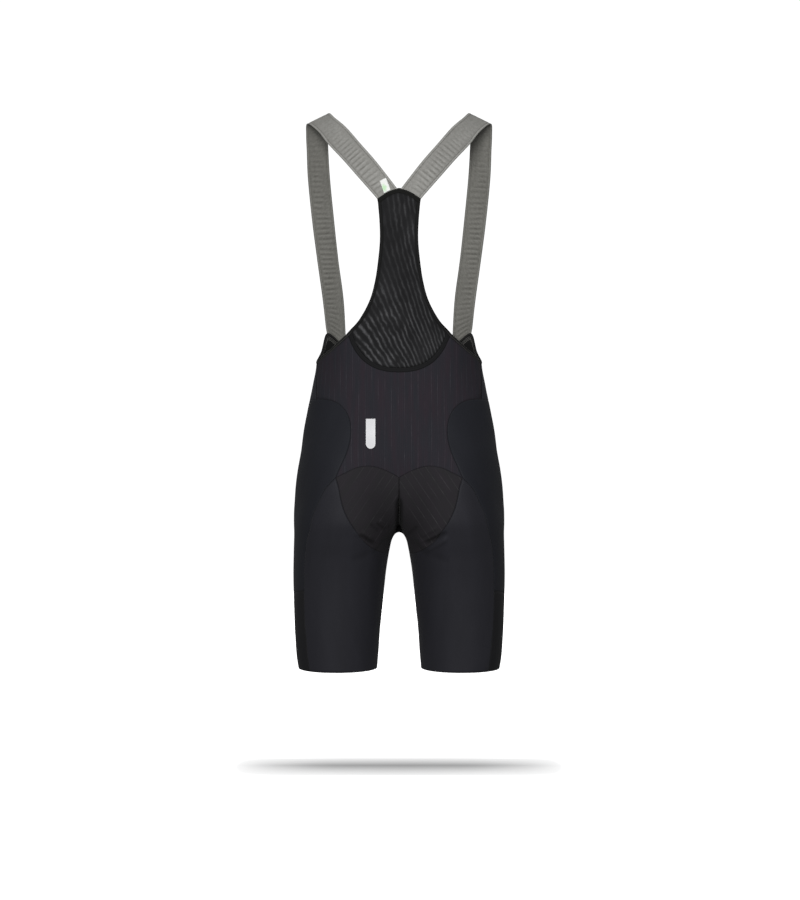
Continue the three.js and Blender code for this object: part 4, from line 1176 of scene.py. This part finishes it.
# %% A pale bowl that is floor and backdrop in one
FLOOR, BOWL_RADIUS, BOWL_BEND, BOWL_WALL = -1.067, 5.0, 1.5, 9.0
bend = [math.radians(angle) for angle in range(0, 91, 6)]
profile = [*[(r, 0.0) for r in (0.0, 0.5, 1.0, 1.5, 2.0, 2.75)],
           *[(BOWL_RADIUS - BOWL_BEND * (1 - math.sin(a)), BOWL_BEND * (1 - math.cos(a))) for a in bend],
           (BOWL_RADIUS, BOWL_WALL)]
bm = bmesh.new()
corners = [bm.verts.new((r, 0, FLOOR + h)) for r, h in profile]
edges = [bm.edges.new(pair) for pair in zip(corners, corners[1:])]
bmesh.ops.spin(bm, geom=corners + edges, axis=(0, 0, 1), cent=(0, 0, 0), angle=2 * math.pi, steps=64,
               use_merge=True)
bmesh.ops.remove_doubles(bm, verts=bm.verts, dist=1e-5)
bmesh.ops.recalc_face_normals(bm, faces=bm.faces)
bmesh.ops.reverse_faces(bm, faces=bm.faces)
bowl_mesh = bpy.data.meshes.new("bowl")
bm.to_mesh(bowl_mesh)
bm.free()
bowl_mesh.shade_smooth()
bowl = bpy.data.objects.new("bowl", bowl_mesh)
bpy.context.scene.collection.objects.link(bowl)
bowl.visible_diffuse = bowl.visible_glossy = False
print("the bowl has", len(bowl_mesh.polygons), "faces")

# %% Its paper, with the pool of shade below the garment
POOL_MIDDLE, POOL_HALF_WIDTH, POOL_BEHIND, POOL_IN_FRONT = -2, 275, 88, 66  # millimetres
GLOW, SHADED_GLOW = (0.85, 0.85, 0.85), (0, 0, 0)
PAPER, SHADED_PAPER = (0.86, 0.86, 0.86), (0.66, 0.66, 0.66)
paper = Finish("pale_paper", roughness=0.9, specular=0.0)
x, y, _ = paper.place()
back = y - POOL_MIDDLE
across = (1 - ((x / POOL_HALF_WIDTH) ** 2) ** 1.6).clamp()
pool = across * (1 - paper.math("MAXIMUM", back / POOL_BEHIND, back / -POOL_IN_FRONT)).clamp()
dimmed = ((pool * 12).clamp() * 0.4 + pool * 0.6).clamp()  # the first part takes the white to its brink
paper.plug(paper.surface.inputs["Emission Color"], paper.mix(dimmed, GLOW, SHADED_GLOW))
paper.surface.inputs["Emission Strength"].default_value = 1.0
bowl_mesh.materials.append(paper.wear(paper.mix(pool, PAPER, SHADED_PAPER)))

# %% Soft lights and the surrounding room
def soft_light(name, place, aim, size, power):
    data = bpy.data.lights.new(name, "AREA")
    data.shape, data.size, data.energy = "DISK", size, power
    lamp = bpy.data.objects.new(name, data)
    bpy.context.scene.collection.objects.link(lamp)
    lamp.location = place
    lamp.rotation_euler = (Vector(aim) - Vector(place)).to_track_quat("-Z", "Y").to_euler()


soft_light("camera_side", (0.2, 3.0, 0.0), aim=(0, 0, -0.5), size=1.0, power=63)
soft_light("far_side", (0, -3.0, 0.4), aim=(0, 0, -0.5), size=1.6, power=48)
soft_light("above", (0, 0.4, 1.7), aim=(0, 0, -0.6), size=1.6, power=9)
world = bpy.data.worlds.new("room")
world.use_nodes = True
background = world.node_tree.nodes["Background"]
background.inputs["Color"].default_value = (0.98, 0.99, 1, 1)
background.inputs["Strength"].default_value = 0.16
bpy.context.scene.world = world
bpy.context.scene.view_settings.view_transform = "Standard"

# %% [markdown]
# ## Camera
# The photograph is taken from behind, level with the picture's middle and about 2.6 m away. The lens is
# the one whose frame is 1.485 m tall at that distance, for the picture's 900 px at 1.65 mm each.

# %% Place the camera
EYE_SIDE, EYE_HEIGHT, EYE_BACK, FRAME_HEIGHT = -0.0015, -0.54615, 2.6, 1.485
view = bpy.data.cameras.new("camera")
view.sensor_fit, view.sensor_height = "VERTICAL", 24
view.lens = view.sensor_height * EYE_BACK / FRAME_HEIGHT
camera = bpy.data.objects.new("camera", view)
camera.location = (EYE_SIDE, EYE_BACK, EYE_HEIGHT)
camera.rotation_euler = (math.radians(90), 0, math.radians(180))
bpy.context.scene.collection.objects.link(camera)
bpy.context.scene.camera = camera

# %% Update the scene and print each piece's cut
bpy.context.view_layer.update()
for name, cut in CUTS.items():
    print(name, "cut about", cut[0], "by", cut[1], "m, area", cut[2], "m2")
